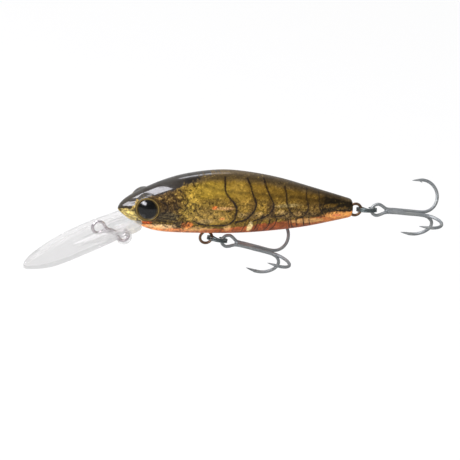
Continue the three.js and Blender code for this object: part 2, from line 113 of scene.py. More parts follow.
def finishPiece(piece, name, bodyName, material, replaced, smoothAngle=40, inMetres=False):
    piece.name = name
    piece.data.name = name
    if not inMetres:
        piece.data.transform(Matrix.Scale(0.001, 4))
    makeActive(piece)
    bpy.ops.object.shade_smooth_by_angle(angle=math.radians(smoothAngle))
    piece.data.materials.clear()
    piece.data.materials.append(material)
    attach(piece, bodyName)
    if replaced:
        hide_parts(replaced)
    return piece


def smoothstep(value, low, high):
    share = np.clip((value - low) / (high - low), 0, 1)
    return share * share * (3 - 2 * share)


def lerp(a, b, share):
    return a + (b - a) * share


# ---- shader helpers

def paint(red, green, blue):          # a colour given on a 0 to 255 scale, made linear
    def linear(level):
        level /= 255
        return level / 12.92 if level <= 0.04045 else ((level + 0.055) / 1.055) ** 2.4
    return (linear(red), linear(green), linear(blue), 1)


class Wire:                           # one node output, so that shader maths reads as maths
    def __init__(self, finish, node, output=0):
        self.finish, self.node = finish, node
        self.socket = node.outputs[output] if node.outputs else None

    def out(self, output):
        return Wire(self.finish, self.node, output)

    def maths(self, operation, *others):
        sockets = {index: value for index, value in enumerate(others)}
        return self.finish.add("Math", {"operation": operation}, sockets)

    def __add__(self, other): return self.maths("ADD", self, other)
    def __radd__(self, other): return self.maths("ADD", other, self)
    def __sub__(self, other): return self.maths("SUBTRACT", self, other)
    def __rsub__(self, other): return self.maths("SUBTRACT", other, self)
    def __mul__(self, other): return self.maths("MULTIPLY", self, other)
    def __rmul__(self, other): return self.maths("MULTIPLY", other, self)
    def __truediv__(self, other): return self.maths("DIVIDE", self, other)
    def __pow__(self, other): return self.maths("POWER", self, other)
    def __abs__(self): return self.maths("ABSOLUTE", self)
    def atLeast(self, other): return self.maths("MAXIMUM", self, other)
    def atMost(self, other): return self.maths("MINIMUM", self, other)

    def between(self, low, high, fromValue=0, toValue=1):
        return self.finish.add("MapRange", {"interpolation_type": "SMOOTHSTEP"}, {
            "Value": self, "From Min": low, "From Max": high, "To Min": fromValue, "To Max": toValue})


class Finish:
    def __init__(self, name, tree=None):
        if tree is None:
            self.material = bpy.data.materials.new(name)
            self.material.use_nodes = True
            tree = self.material.node_tree
        self.tree = tree
        self.tree.nodes.clear()

    def add(self, kind, settings=None, sockets=None, output=0):
        node = self.tree.nodes.new("ShaderNode" + kind)
        for key, value in (settings or {}).items():
            setattr(node, key, value)
        for key, value in (sockets or {}).items():
            if isinstance(value, Wire):
                self.tree.links.new(value.socket, node.inputs[key])
            else:
                node.inputs[key].default_value = value
        return Wire(self, node, output)

    def place(self):
        return self.add("TexCoord").out("Object")

    def attribute(self, name, output="Fac"):
        return self.add("Attribute", {"attribute_name": name}).out(output)

    def noise(self, scale, detail=3, roughness=0.55, distortion=0.0, vector=None):
        return self.add("TexNoise", None, {
            "Vector": vector or self.place(), "Scale": scale, "Detail": detail,
            "Roughness": roughness, "Distortion": distortion})

    def cells(self, scale, feature="F1", vector=None):
        return self.add("TexVoronoi", {"feature": feature}, {
            "Vector": vector or self.place(), "Scale": scale}).out("Distance")

    def mix(self, first, second, factor):
        return self.add("Mix", {"data_type": "RGBA"}, {0: factor, 6: first, 7: second}, 2)

    def brighten(self, colour, gain):
        return self.add("VectorMath", {"operation": "SCALE"}, {"Vector": colour, "Scale": gain})

    def bump(self, height, distance, strength=1.0):
        return self.add("Bump", None, {"Height": height, "Distance": distance, "Strength": strength})

    def surface(self, **sockets):
        names = {
            key: key[0].upper() + "".join(" " + c if c.isupper() else c for c in key[1:])
            for key in sockets}
        names = {key: name.replace("I O R", "IOR") for key, name in names.items()}
        made = self.add("BsdfPrincipled", None, {names[key]: value for key, value in sockets.items()})
        self.add("OutputMaterial", None, {"Surface": made})
        return self.material


# ---- camera, light, world and floor

cameraSettings = {
    "azimuth": -16.0, "elevation": 21.0, "roll": 5.867,   # degrees
    "aim": (0.0388, 0.0, -0.00086), "frameWidth": 0.1317, "lens": 500, "sensor": 36,
}


def addCamera(settings):
    azimuth, elevation = math.radians(settings["azimuth"]), math.radians(settings["elevation"])
    back = Vector((
        math.sin(azimuth) * math.cos(elevation),
        -math.cos(azimuth) * math.cos(elevation),
        math.sin(elevation)))
    data = bpy.data.cameras.new("camera")
    data.lens, data.sensor_width = settings["lens"], settings["sensor"]
    data.clip_start, data.clip_end = 0.05, 50
    camera = bpy.data.objects.new("camera", data)
    scene.collection.objects.link(camera)
    facing = (-back).to_track_quat("-Z", "Y").to_matrix()
    turn = facing @ Matrix.Rotation(math.radians(settings["roll"]), 3, "Z")
    distance = settings["lens"] / settings["sensor"] * settings["frameWidth"]
    camera.matrix_world = Matrix.Translation(Vector(settings["aim"]) + back * distance) @ turn.to_4x4()
    scene.camera = camera


# Lights: name, towards it, distance, width and height in metres, watts, mirrored
lightSettings = [
    ("overheadSoftbox", (-0.42, -0.05, 0.9), 0.62, 0.60, 0.17, 2.7, True),
    ("headSoftbox", (-0.80, -0.16, 0.56), 0.66, 0.46, 0.32, 3.1, True),
    ("eyeSoftbox", (-0.67, -0.60, 0.44), 0.70, 0.26, 0.20, 1.3, True),
    ("ridgeSoftbox", (0.10, 0.56, 0.82), 0.62, 0.26, 0.14, 0.42, True),
    ("frontFill", (0.15, -0.85, 0.5), 0.9, 0.6, 0.5, 4.3, False),
]


def addLights():
    for name, towards, distance, width, height, power, mirrored in lightSettings:
        data = bpy.data.lights.new(name, "AREA")
        data.shape, data.size, data.size_y, data.energy = "RECTANGLE", width, height, power
        data.color = (0.95, 0.94, 1.0) if mirrored else (1.0, 0.99, 0.97)
        light = bpy.data.objects.new(name, data)
        light.visible_glossy = mirrored
        scene.collection.objects.link(light)
        direction = Vector(towards).normalized()
        aim = Vector((0.035, 0, 0.006))
        light.location = aim + direction * distance
        light.rotation_mode = "QUATERNION"
        light.rotation_quaternion = direction.to_track_quat("Z", "Y")


def addWorld():
    world = bpy.data.worlds.new("studio")
    world.use_nodes = True
    scene.world = world
    air = Finish("studio", world.node_tree)
    paths = air.add("LightPath")
    seen = paths.out("Is Camera Ray").atLeast(paths.out("Is Transmission Ray"))
    mirrored = paths.out("Is Glossy Ray")
    direction = air.add("TexCoord").out("Generated")
    parts = air.add("SeparateXYZ", None, {"Vector": direction})
    height = parts.out("Z")
    depth = parts.out("Y")
    # darker behind the camera
    room = height.between(-0.35, 0.9, 0.6, 0.5) * depth.between(-0.1, 0.75, 0.04, 1.0)
    level = seen.atLeast(mirrored * room)
    fill = 1 - seen.atLeast(mirrored)
    strength = level + fill * 0.5
    glow = air.add("Background", None, {"Color": (1, 1, 1, 1), "Strength": strength})
    air.add("OutputWorld", None, {"Surface": glow})


floorSettings = {"size": 6.0, "height": -0.075}


def addFloor():
    bpy.ops.mesh.primitive_plane_add(size=floorSettings["size"], location=(0, 0, floorSettings["height"]))
    floor = bpy.context.object
    floor.name = "studioFloor"
    look = Finish("paleFloor")
    paths = look.add("LightPath")
    seen = paths.out("Is Camera Ray").atLeast(paths.out("Is Transmission Ray"))
    grain = look.noise(40, 2)
    pale = look.mix((0.80, 0.80, 0.80, 1), (0.84, 0.84, 0.84, 1), grain)
    diffuse = look.add("BsdfDiffuse", None, {"Color": pale})
    shine = look.add("Emission", None, {"Color": (1, 1, 1, 1), "Strength": 1.0})
    dim = look.add("Emission", None, {"Color": (1, 1, 1, 1), "Strength": 0.2})
    mirrored = look.add("MixShader", None, {0: paths.out("Is Glossy Ray") * 0.94, 1: diffuse, 2: dim})
    both = look.add("MixShader", None, {0: seen * 0.86, 1: mirrored, 2: shine})
    behind = look.add("NewGeometry").out("Backfacing")
    oneSided = look.add("MixShader", None, {0: behind, 1: both, 2: look.add("BsdfTransparent")})
    look.add("OutputMaterial", None, {"Surface": oneSided})
    floor.data.materials.append(look.material)


addCamera(cameraSettings)
addLights()
addWorld()
clearSelection()
addFloor()
clearSelection()
scene.view_settings.view_transform = "Standard"
print("camera, light and floor made")


# ---- the body's form: profiles along its length, and a section a little fuller than an ellipse

body = {
    "noseX": 5.1, "length": 69.2, "backHeight": 17.4, "bellyDepth": 1.4, "width": 12.2, "midHeight": 5.7,
    "sectionPower": 2.15, "wall": 1.2, "tailRound": 0.55, "partingGap": 0.04,
    "headSolid": 14.5, "tailSolid": 8.0,
}
tailX = body["noseX"] + body["length"]
backPoints = [
    (0, 0), (0.004, 0.08), (0.018, 0.19), (0.045, 0.315), (0.1, 0.5), (0.2, 0.755), (0.3, 0.915),
    (0.43, 1), (0.55, 0.945), (0.68, 0.8), (0.8, 0.6), (0.9, 0.425), (0.965, 0.31), (0.992, 0.255), (1, 0.2)]
bellyPoints = [
    (0, 0), (0.004, 0.06), (0.02, 0.2), (0.05, 0.41), (0.1, 0.68), (0.16, 0.875), (0.25, 0.965),
    (0.44, 1), (0.56, 0.97), (0.68, 0.875), (0.8, 0.73), (0.9, 0.54), (0.965, 0.4), (0.992, 0.33), (1, 0.26)]
widthPoints = [
    (0, 0), (0.004, 0.13), (0.02, 0.32), (0.05, 0.52), (0.1, 0.7), (0.2, 0.9), (0.32, 0.99),
    (0.42, 1), (0.55, 0.95), (0.7, 0.8), (0.84, 0.58), (0.93, 0.43), (0.985, 0.36), (1, 0.3)]


def splinePoints(points, steps=40):   # an even spline through the points
    points = np.array(points, float)
    padded = np.vstack([points[:1], points, points[-1:]])
    rows = []
    for index in range(len(points) - 1):
        before, start, end, after = padded[index:index + 4]
        for step in range(steps):
            t = step / steps
            slopeIn, slopeOut = (end - before) / 2, (after - start) / 2
            rows.append(
                (2 * start - 2 * end + slopeIn + slopeOut) * t ** 3
                + (-3 * start + 3 * end - 2 * slopeIn - slopeOut) * t ** 2 + slopeIn * t + start)
    rows.append(points[-1])
    return np.array(rows)


profiles = [splinePoints(points) for points in (backPoints, bellyPoints, widthPoints)]


def section(x):                       # top, bottom and half width at a place along the body
    share = np.clip((np.asarray(x, float) - body["noseX"]) / body["length"], 0, 1)
    back, belly, width = [np.interp(share, curve[:, 0], curve[:, 1]) for curve in profiles]
    middle = body["midHeight"]
    top = middle + (body["backHeight"] - middle) * back
    bottom = middle - (middle + body["bellyDepth"]) * belly
    return top, bottom, body["width"] / 2 * width


def bodyForm(name, rows, sides, inset=0.0):
    clearSelection()
    bpy.ops.mesh.primitive_uv_sphere_add(segments=sides, ring_count=rows, radius=1, location=(0, 0, 0))
    form = bpy.context.object
    form.name = name
    ball = readPoints(form)
    across, up, along = ball[:, 0], ball[:, 1], np.clip(ball[:, 2], -1, 1)
    row = np.arccos(-along) / math.pi                       # 0 at the nose, 1 at the tail
    lengthShare, roundShare = 0.95, 0.98
    reach = np.clip(row / lengthShare, 0, 1)
    share = 1 - np.cos(reach * math.pi / 2)
    rounding = body["tailRound"]
    corner = np.clip((row - lengthShare) / (roundShare - lengthShare), 0, 1) * math.pi / 2
    x = body["noseX"] + inset + share * (body["length"] - 2 * inset - rounding) + rounding * np.sin(corner)
    top, bottom, half = section(x)
    shrink = inset + rounding * (1 - np.cos(corner))
    cap = 1 - np.clip((row - roundShare) / (1 - roundShare), 0, 1)
    pole = (row < 1e-6)
    height = np.where(pole, 0, np.maximum(0.02, (top - bottom) / 2 - shrink)) * cap
    width = np.where(pole, 0, np.maximum(0.02, half - shrink)) * cap
    angle = np.arctan2(up, across)
    side, rise = np.cos(angle), np.sin(angle)
    power = body["sectionPower"]
    full = (np.abs(side) ** power + np.abs(rise) ** power) ** (-1 / power)
    writePoints(form, np.stack([x, width * full * side, (top + bottom) / 2 + height * full * rise], 1))
    return form


# ---- eyes: each is set in a socket with a raised brow

eye = {
    "rimRadius": 3.75, "rimLine": 3.2,
    "x": 12.7, "z": 7.2, "radius": 2.8, "turn": 19.0, "lift": 6.0, "socketDepth": 0.8, "clearance": 0.06,
    "browRise": 0.4, "browStart": 3.35, "browWidth": 1.0, "discThickness": 0.3, "domeHeight": 0.8,
}


def eyeFrame(side):
    turn, lift = math.radians(eye["turn"]), math.radians(eye["lift"])
    outward = Vector((-math.sin(turn), side * math.cos(turn) * math.cos(lift), math.sin(lift))).normalized()
    top, bottom, half = section(eye["x"])
    rise = abs(eye["z"] - (top + bottom) / 2) / ((top - bottom) / 2)
    power = body["sectionPower"]
    surface = half * (1 - rise ** power) ** (1 / power)
    floor = Vector((eye["x"], side * surface, eye["z"])) - outward * eye["socketDepth"]
    upward = (Vector((0, 0, 1)) - outward * outward.z).normalized()
    return floor, outward, upward


def roundEye(points, side):     # height over the socket's floor, radius, and the flat offset
    floor, outward, _ = [np.array(v) for v in eyeFrame(side)]
    offset = points - floor
    height = offset @ outward
    flat = offset - np.outer(height, outward)
    return height, np.linalg.norm(flat, axis=1), flat


def raiseBrows(form):
    points = readPoints(form)
    for side in (-1, 1):
        outward, upward = [np.array(v) for v in eyeFrame(side)[1:]]
        height, radius, flat = roundEye(points, side)
        upness = flat @ upward / np.maximum(radius, 1e-6)
        top = eye["socketDepth"] + eye["browRise"] * (0.55 + 0.45 * upness)
        outer = np.maximum(radius - eye["browStart"], 0) / eye["browWidth"]
        inner = np.maximum(eye["radius"] + 0.28 - radius, 0) / 0.22
        target = top - 2.2 * outer ** 2 - 0.12 * np.minimum(inner, 1.2) ** 2
        near = (radius < eye["browStart"] + 1.9) & (height > -2.5) & (points[:, 1] * side > 0)
        blend = 0.35
        gap = np.abs(height - target)
        lifted = np.maximum(height, target) + np.maximum(blend - gap, 0) ** 2 / (4 * blend)
        move = np.where(near, lifted - height, 0)
        points = points + np.outer(move, outward)
    writePoints(form, points)


def turned(points, floor, outward, upward):     # from a piece's own frame, with its axis on Z, into place
    sideways = upward.cross(outward)
    turn = Matrix((sideways, upward, outward)).transposed()
    return [floor + turn @ Vector(p) for p in points]


def latheAlongZ(name, outline, sides):          # the outline starts and ends on the axis
    points, faces = [], []
    count = len(outline) - 2
    for radius, height in outline[1:-1]:
        for step in range(sides):
            angle = 2 * math.pi * step / sides
            points.append((radius * math.cos(angle), radius * math.sin(angle), height))
    points.append((0, 0, outline[0][1]))
    points.append((0, 0, outline[-1][1]))
    low, high = len(points) - 2, len(points) - 1
    for step in range(sides):
        after = (step + 1) % sides
        faces.append((low, after, step))
        faces.append((high, (count - 1) * sides + step, (count - 1) * sides + after))
        for ring in range(count - 1):
            a, b = ring * sides, (ring + 1) * sides
            faces.append((a + step, a + after, b + after, b + step))
    return meshObject(name, points, faces)


# ---- diving lip: a cambered plate with a keel and a boss under it

lip = {
    "tipX": -20.9,
    "reach": 21.3, "halfWidth": 8.35, "thickness": 1.3, "tipThickness": 0.75, "drop": 1.05, "slope": 0.455,
    "camber": 0.0032, "tipLift": 0.45, "tongueHalf": 2.6, "tongueEnd": 16.5, "keelWidth": 2.5,
    "bossRadius": 2.3, "bossHole": 0.95, "clearance": 0.06, "voxel": 0.12,
}
tieRear = (7.5, -2.56)                # x and z of the line tie's buried loop


def tipShare(x):
    return smoothstep(-np.asarray(x, float), 0.6 * lip["reach"], lip["reach"])


def plateTop(x):
    x = np.asarray(x, float)
    return -lip["drop"] + lip["slope"] * x - lip["camber"] * x * x + lip["tipLift"] * tipShare(x)


def lipHalfWidths(stations):
    half = lip["halfWidth"]
    edge = splinePoints([
        (lip["tipX"], 0), (-20.62, 1.3), (-19.7, 2.75), (-17.47, 4.8), (-14.06, 6.6), (-9.16, 7.95),
        (-2.56, half),
        (1.5, half - 0.15), (5, half - 0.6), (9.4, half - 0.55)], 12)
    rest = [
        (10.6, half - 1.3), (11.2, half - 2.8),
        (11.4, lip["tongueHalf"]), (lip["tongueEnd"], lip["tongueHalf"])]
    edge = np.vstack([edge, rest])
    return np.interp(stations, edge[:, 0], edge[:, 1])


def lipPlate(grow):
    stations = np.concatenate([
        lip["tipX"] + 2.9 * np.linspace(0, 1, 14) ** 2, np.linspace(-17.8, 9.2, 60),
        np.linspace(9.4, 11.4, 12), [14, 16.5]])
    widths = np.maximum(lipHalfWidths(stations), 0.05) + grow
    stations = stations + grow * np.sign(stations)
    columns = 12
    points, faces = [], []
    for x, width in zip(stations, widths):
        tilt = math.hypot(1, lip["slope"] - 2 * lip["camber"] * x)
        thickness = float(lerp(lip["thickness"], lip["tipThickness"], tipShare(x)))
        high = float(plateTop(x)) + grow * tilt
        low = float(plateTop(x)) - (thickness + grow) * tilt
        across = np.linspace(-width, width, columns)
        points += [(x, y, high) for y in across] + [(x, y, low) for y in across[::-1]]
    ring = 2 * columns
    for row in range(len(stations) - 1):
        for step in range(ring):
            a, b = row * ring + step, row * ring + (step + 1) % ring
            faces.append((a, a + ring, b + ring, b))
    faces.append(tuple(range(ring)))
    faces.append(tuple(reversed(range((len(stations) - 1) * ring, len(stations) * ring))))
    plate = meshObject("lipPlate", points, faces)
    facesOutward(plate)
    return plate


def bowed(start, control, end, steps=8):
    start, control, end = [np.array(p, float) for p in (start, control, end)]
    shares = np.linspace(0, 1, steps + 1)[1:, None]
    curve = (1 - shares) ** 2 * start + 2 * shares * (1 - shares) * control + shares ** 2 * end
    return [tuple(p) for p in curve]


def lipKeel(grow):
    bossX, bossZ = tieRear
    top = lambda x, rise: float(plateTop(x)) + rise
    half = lip["keelWidth"] / 2 + grow
    front = -lip["reach"] * 0.52
    outline = [(front, top(front, -lip["thickness"] / 2))]
    outline += bowed(outline[-1], (-2, top(-2, -2.3)), (bossX - 3.4, bossZ - 0.75))
    outline += bowed(outline[-1], (bossX - 2.4, bossZ - 0.7), (bossX - 1.4, bossZ - 1.35))
    radius = lip["bossRadius"] + grow
    for turn in np.linspace(1.25, 2.28, 16):
        outline.append((bossX + radius * math.cos(math.pi * turn), bossZ + radius * math.sin(math.pi * turn)))
    outline += bowed(outline[-1], (bossX + 1.6, top(bossX, -1.4)), (bossX + 3, top(bossX + 3, -0.7)))
    outline.append((9.2, top(9.2, 0.15 + grow)))
    outline += bowed(outline[-1], (7.6, top(7.6, 0.75 + grow)), (5.4, top(5.4, 0.95 + grow)))
    outline += bowed(outline[-1], (3, top(3, 1.2 + grow)), (1.2, top(1.2, 0.3)))
    outline.append((0.8, top(0.8, -lip["thickness"] / 2)))
    count = len(outline)
    points = [(x, -half, z) for x, z in outline] + [(x, half, z) for x, z in outline]
    faces = [tuple(range(count)), tuple(reversed(range(count, 2 * count)))]
    faces += [(i, i + count, (i + 1) % count + count, (i + 1) % count) for i in range(count)]
    keel = meshObject("lipKeel", points, faces)
    facesOutward(keel)
    return keel


def softened(piece, voxel, passes, strength=0.5):
    # melts joined solids into one skin and softens its edges
    makeActive(piece)
    piece.data.remesh_voxel_size = voxel
    bpy.ops.object.voxel_remesh()
    applyModifier(piece, "SMOOTH", factor=strength, iterations=passes)
    return piece


def makeClearPlastic():
    look = Finish("clearLipPlastic")
    haze = look.noise(90, 2)
    gloss = 0.01 + 0.012 * haze
    ripple = look.bump(look.noise(130, 1), 0.0001, 0.1)
    return look.surface(
        baseColor=(0.94, 0.915, 0.92, 1), roughness=gloss, transmissionWeight=1.0,
        iOR=1.44, alpha=0.42, normal=ripple)


def makeLip():
    keel = lipKeel(0)
    drill = latheAlongZ("drill", [(0, -4), (lip["bossHole"], -4), (lip["bossHole"], 4), (0, 4)], 64)
    seat = Matrix.Translation((tieRear[0], 0, tieRear[1]))
    drill.data.transform(seat @ Matrix.Rotation(math.pi / 2, 4, "X"))
    facesOutward(drill)
    cutAway(keel, drill)
    discard(drill)
    piece = joinPieces(lipPlate(0), keel)
    softened(piece, lip["voxel"] * (1), 9)
    return finishPiece(piece, "lip_clear", "root", makeClearPlastic(), "diving_lip", 60)


makeLip()
print("diving lip made")


# ---- body halves

def valueNoise(a, b, size, seed):     # smooth random heights between -1 and 1
    rng = np.random.default_rng(seed)
    table = rng.uniform(-1, 1, (64, 64))
    u, v = a / size + 1000, b / size + 1000
    iu, iv = np.floor(u).astype(int), np.floor(v).astype(int)
    fu, fv = u - iu, v - iv
    fu, fv = fu * fu * (3 - 2 * fu), fv * fv * (3 - 2 * fv)
    at = lambda i, j: table[i % 64, j % 64]
    low = at(iu, iv) * (1 - fu) + at(iu + 1, iv) * fu
    high = at(iu, iv + 1) * (1 - fu) + at(iu + 1, iv + 1) * fu
    return low * (1 - fv) + high * fv


def distanceTo(line, x, z, steps=6):
    curve = splinePoints(line, steps) if len(line) > 2 else np.array(line, float)
    best = np.full(len(x), 1e9)
    for (ax, az), (bx, bz) in zip(curve[:-1], curve[1:]):
        dx, dz = bx - ax, bz - az
        share = np.clip(((x - ax) * dx + (z - az) * dz) / (dx * dx + dz * dz + 1e-12), 0, 1)
        best = np.minimum(best, np.hypot(x - ax - share * dx, z - az - share * dz))
    return best


# Inked lines as x and z in millimetres, then half width, strength and waviness
inkLines = [
    ([(34.9, 16.4), (34.8, 13.5), (35.9, 11.4), (37.6, 9.6), (38.4, 7.8), (38.2, 5.3), (37.8, 4.1),
      (36.2, 2.7), (32.6, 2.5), (30.3, 2.6), (27.9, 3.3), (26.2, 4.1)], 0.2, 1, 0.1),
    ([(41.7, 16), (42.5, 13.9), (43.3, 11.5), (44, 9.8), (44, 7.9), (42.9, 6),
      (41.3, 4.5), (38.8, 3.5)], 0.2, 1, 0.1),
    ([(46.7, 15.7), (47.2, 13.7), (48.3, 11.3), (49.3, 9.3), (49.3, 7.5),
      (47.7, 5.6), (43.9, 4)], 0.19, 1, 0.1),
    ([(52.9, 13.6), (53.3, 11.1), (53.7, 8.5), (55.2, 6)], 0.18, 0.9, 0.08),
    ([(53.8, 6), (51.6, 5.3), (49.4, 5.3)], 0.16, 0.8, 0.08),
    ([(59.8, 12.5), (59.5, 10.4), (60.2, 7.2), (58.6, 4.6)], 0.17, 0.9, 0.08),
    ([(55.2, 6), (56.6, 4.9), (58.6, 4.6)], 0.15, 0.7, 0.08),
    ([(63.5, 11.5), (63.6, 10.1), (63.9, 7), (65.7, 4.5)], 0.16, 0.85, 0.08),
    ([(60.2, 5.4), (63, 4.7), (65.7, 4.5)], 0.14, 0.55, 0.08),
    ([(38.8, 3.8), (38.4, 0.3)], 0.11, 0.55, 0.06),
    ([(41.7, 4.1), (41.4, 1.5), (40.7, -1)], 0.14, 0.85, 0.06),
    ([(45.3, 4), (44.9, 1.4), (44, -1)], 0.14, 0.9, 0.06),
    ([(46.3, 4.1), (45.9, 1.6), (45, -0.8)], 0.13, 0.85, 0.06),
    ([(48.9, 4.5), (48.7, 2.4), (47.8, 0.2)], 0.14, 0.95, 0.06),
    ([(50.9, 4.8), (50.7, 2.6), (49.7, 0.6)], 0.14, 0.95, 0.06),
    ([(54.4, 4.3), (54.8, 2.8), (55.4, 1.3)], 0.14, 1, 0.05),
    ([(55.2, 4.3), (55.6, 2.8), (56.2, 1.3)], 0.12, 0.9, 0.05),
    ([(56.8, 4.3), (57.2, 2.8), (57.8, 1.3)], 0.14, 1, 0.05),
    ([(58.9, 4.4), (59.3, 3), (59.7, 1.6)], 0.14, 1, 0.05),
    ([(60.7, 4.6), (61, 3.2), (61.6, 1.9)], 0.14, 0.95, 0.05),
    ([(5.2, 5.9), (7, 6.0), (9.2, 6.4)], 0.1, 0.8, 0.04),
    ([(6.2, 5.5), (8.2, 4.9), (10, 5.4)], 0.1, 0.8, 0.2),
    ([(6.8, 4.3), (8.4, 4.2), (9.8, 3.2)], 0.1, 0.8, 0.25),
    ([(8.6, 2.6), (10.2, 2.7), (11.6, 1.4)], 0.1, 0.7, 0.25),
    ([(8.8, 7.2), (9.4, 6.2), (9.2, 5)], 0.12, 0.7, 0.15),
    ([(15.8, 9.8), (17.6, 9), (18.2, 7.4), (17.1, 6.3)], 0.22, 0.85, 0.2),
    ([(16.5, 5.7), (19, 5.5), (22.3, 5.8)], 0.16, 0.75, 0.15),
    ([(16.2, 4.8), (19, 4.6), (22, 4.4)], 0.16, 0.75, 0.15),
    ([(16, 3.9), (18.6, 3.6), (21.6, 3.4)], 0.15, 0.7, 0.15),
    ([(19.2, 11.8), (20.6, 10.4), (19.9, 8.8), (20.8, 7.4)], 0.14, 0.8, 0.3),
    ([(21.6, 12.8), (23.4, 11.2), (22.6, 9.6), (23.6, 8.6)], 0.12, 0.75, 0.3),
    ([(23.8, 10.2), (25.3, 9.2), (24.6, 7.8)], 0.11, 0.7, 0.3),
    ([(22.2, 8.2), (23.9, 7), (23.1, 5.6), (24.4, 4.8)], 0.12, 0.75, 0.3),
    ([(25, 6.8), (26.4, 5.8), (25.7, 4.4)], 0.11, 0.7, 0.3),
    ([(24.4, 13.2), (26.2, 12.6), (25.9, 11.2)], 0.1, 0.5, 0.3),
    ([(26.4, 9.6), (24.4, 8.5), (22.7, 7.4)], 0.15, 0.95, 0.35),
    ([(22.6, 10.9), (23.9, 9.7), (23.2, 8.2), (24.6, 7.3), (24.2, 5.9)], 0.13, 0.9, 0.4),
    ([(20.4, 9.4), (21.6, 8.3), (21.1, 6.9), (22.4, 6.1)], 0.15, 0.9, 0.35),
    ([(25.8, 7.6), (27.2, 6.3), (26.3, 5.1), (27.6, 4.2)], 0.12, 0.85, 0.4),
    ([(27.9, 5.9), (29.2, 5.3), (29.0, 4.2), (30.4, 3.7)], 0.1, 0.7, 0.35),
    ([(23.1, 4.7), (24.6, 3.9), (24.1, 2.7), (25.6, 2.1)], 0.12, 0.8, 0.35),
    ([(26.9, 3.0), (28.4, 2.2), (30.1, 2.1)], 0.12, 0.8, 0.35),
    ([(30.6, 2.0), (32.4, 1.4), (34.5, 1.6), (36.4, 1.0)], 0.12, 0.75, 0.35),
    ([(17.6, 2.6), (18.9, 1.7), (18.2, 0.9)], 0.1, 0.8, 0.3),
    ([(20.2, 2.4), (21.2, 1.5), (22.8, 1.6)], 0.12, 0.8, 0.3),
    ([(28.5, 10.4), (31.5, 10.9), (35, 10.1)], 0.1, 0.35, 0.12),
    ([(26, 8.2), (28.4, 6.9), (31, 6.6), (33.6, 7.2)], 0.1, 0.35, 0.12),
    ([(68.2, 9.6), (66.8, 7.6), (67.2, 5.6)], 0.14, 0.5, 0.1),
]
# Soft darker stripes along the back
softStripes = [
    ([(27.6, 16.2), (41, 16.4), (57.8, 13.3), (70, 9.6)], 0.55, 0.55),
    ([(24.1, 15.5), (28.8, 14.5), (34.6, 13.2), (45.8, 11.9), (57.5, 10.5), (68, 8.3)], 0.38, 0.5),
    ([(38.5, 9.1), (46, 8.8), (53, 7.6), (62, 6.6)], 0.3, 0.35),
]
# Patches of colour: x, z, half length, half height, colour, strength, ragged edge
patches = [
    (7.6, 3.7, 4.2, 3.0, (214, 190, 112), 0.95, 0.25),
    (10.3, 0.9, 3.0, 1.6, (226, 208, 150), 0.8, 0.2),
    (18.2, 9.6, 4.6, 4.4, (80, 60, 34), 0.75, 0.5),
    (18.4, 5.4, 3.6, 1.8, (74, 66, 48), 0.8, 0.5),
    (22.4, 2.9, 2.4, 1.5, (54, 43, 30), 0.85, 0.6),
    (25.4, 8.4, 2.7, 5.2, (172, 142, 58), 0.6, 0.6),
    (30.5, 12.9, 7.0, 2.6, (140, 114, 34), 0.7, 0.2),
    (31.0, 9.3, 6.0, 2.0, (116, 92, 36), 0.6, 0.2),
    (30.4, 5.2, 7.0, 2.5, (156, 126, 62), 0.65, 0.3),
    (38.9, 13.4, 2.7, 3.0, (148, 118, 42), 0.6, 0.2),
    (41.2, 9.0, 2.4, 2.8, (152, 120, 46), 0.55, 0.4),
    (46.3, 8.8, 2.1, 2.8, (148, 116, 44), 0.5, 0.4),
    (51.4, 8.2, 2.2, 2.4, (128, 100, 40), 0.5, 0.4),
    (56.6, 7.6, 2.4, 2.2, (124, 96, 40), 0.5, 0.4),
    (62.0, 7.2, 2.4, 2.0, (118, 90, 38), 0.5, 0.4),
    (42.5, 5.8, 3.0, 1.3, (104, 82, 50), 0.6, 0.4),
    (47.6, 5.3, 2.8, 1.2, (92, 72, 46), 0.6, 0.4),
    (53.6, 5.4, 3.6, 1.2, (98, 78, 50), 0.6, 0.4),
    (60.0, 5.6, 3.2, 1.0, (104, 82, 48), 0.55, 0.4),
    (49.4, 7.4, 1.0, 2.2, (66, 48, 42), 0.5, 0.4),
    (53.4, 8.5, 4.2, 0.5, (176, 154, 98), 0.55, 0.5),
    (36.6, 8.6, 1.1, 1.9, (92, 66, 26), 0.55, 0.5),
    (42.9, 8.8, 1.0, 2.2, (94, 68, 28), 0.55, 0.5),
    (48.2, 8.2, 1.0, 2.0, (84, 60, 26), 0.55, 0.5),
    (33.2, 11.2, 2.2, 1.2, (98, 76, 28), 0.5, 0.4),
    (28.6, 7.6, 3.2, 1.0, (112, 88, 40), 0.5, 0.5),
    (40.2, 6.0, 1.2, 0.9, (178, 148, 84), 0.6, 0.6),
    (45.2, 6.3, 1.2, 1.0, (176, 144, 80), 0.6, 0.6),
    (51.8, 6.6, 1.4, 0.7, (170, 140, 84), 0.6, 0.6),
    (57.2, 6.0, 1.4, 0.7, (160, 126, 72), 0.6, 0.6),
    (29.4, 3.9, 2.6, 0.8, (174, 146, 92), 0.55, 0.7),
    (34.6, 8.1, 3.2, 0.55, (200, 152, 96), 0.6, 0.5),
    (31.9, 8.4, 0.8, 0.55, (216, 112, 48), 0.85, 0.4),
    (34.4, 4.9, 0.9, 0.5, (206, 122, 62), 0.6, 0.4),
    (25.3, 2.8, 1.0, 0.6, (216, 116, 54), 0.75, 0.4),
    (69.4, 8.4, 6.6, 2.6, (28, 22, 12), 0.95, 0.5),
    (66.6, 7.7, 2.4, 0.7, (124, 94, 36), 0.6, 0.8),
    (70.6, 6.8, 2.0, 0.5, (112, 84, 34), 0.5, 0.8),
]
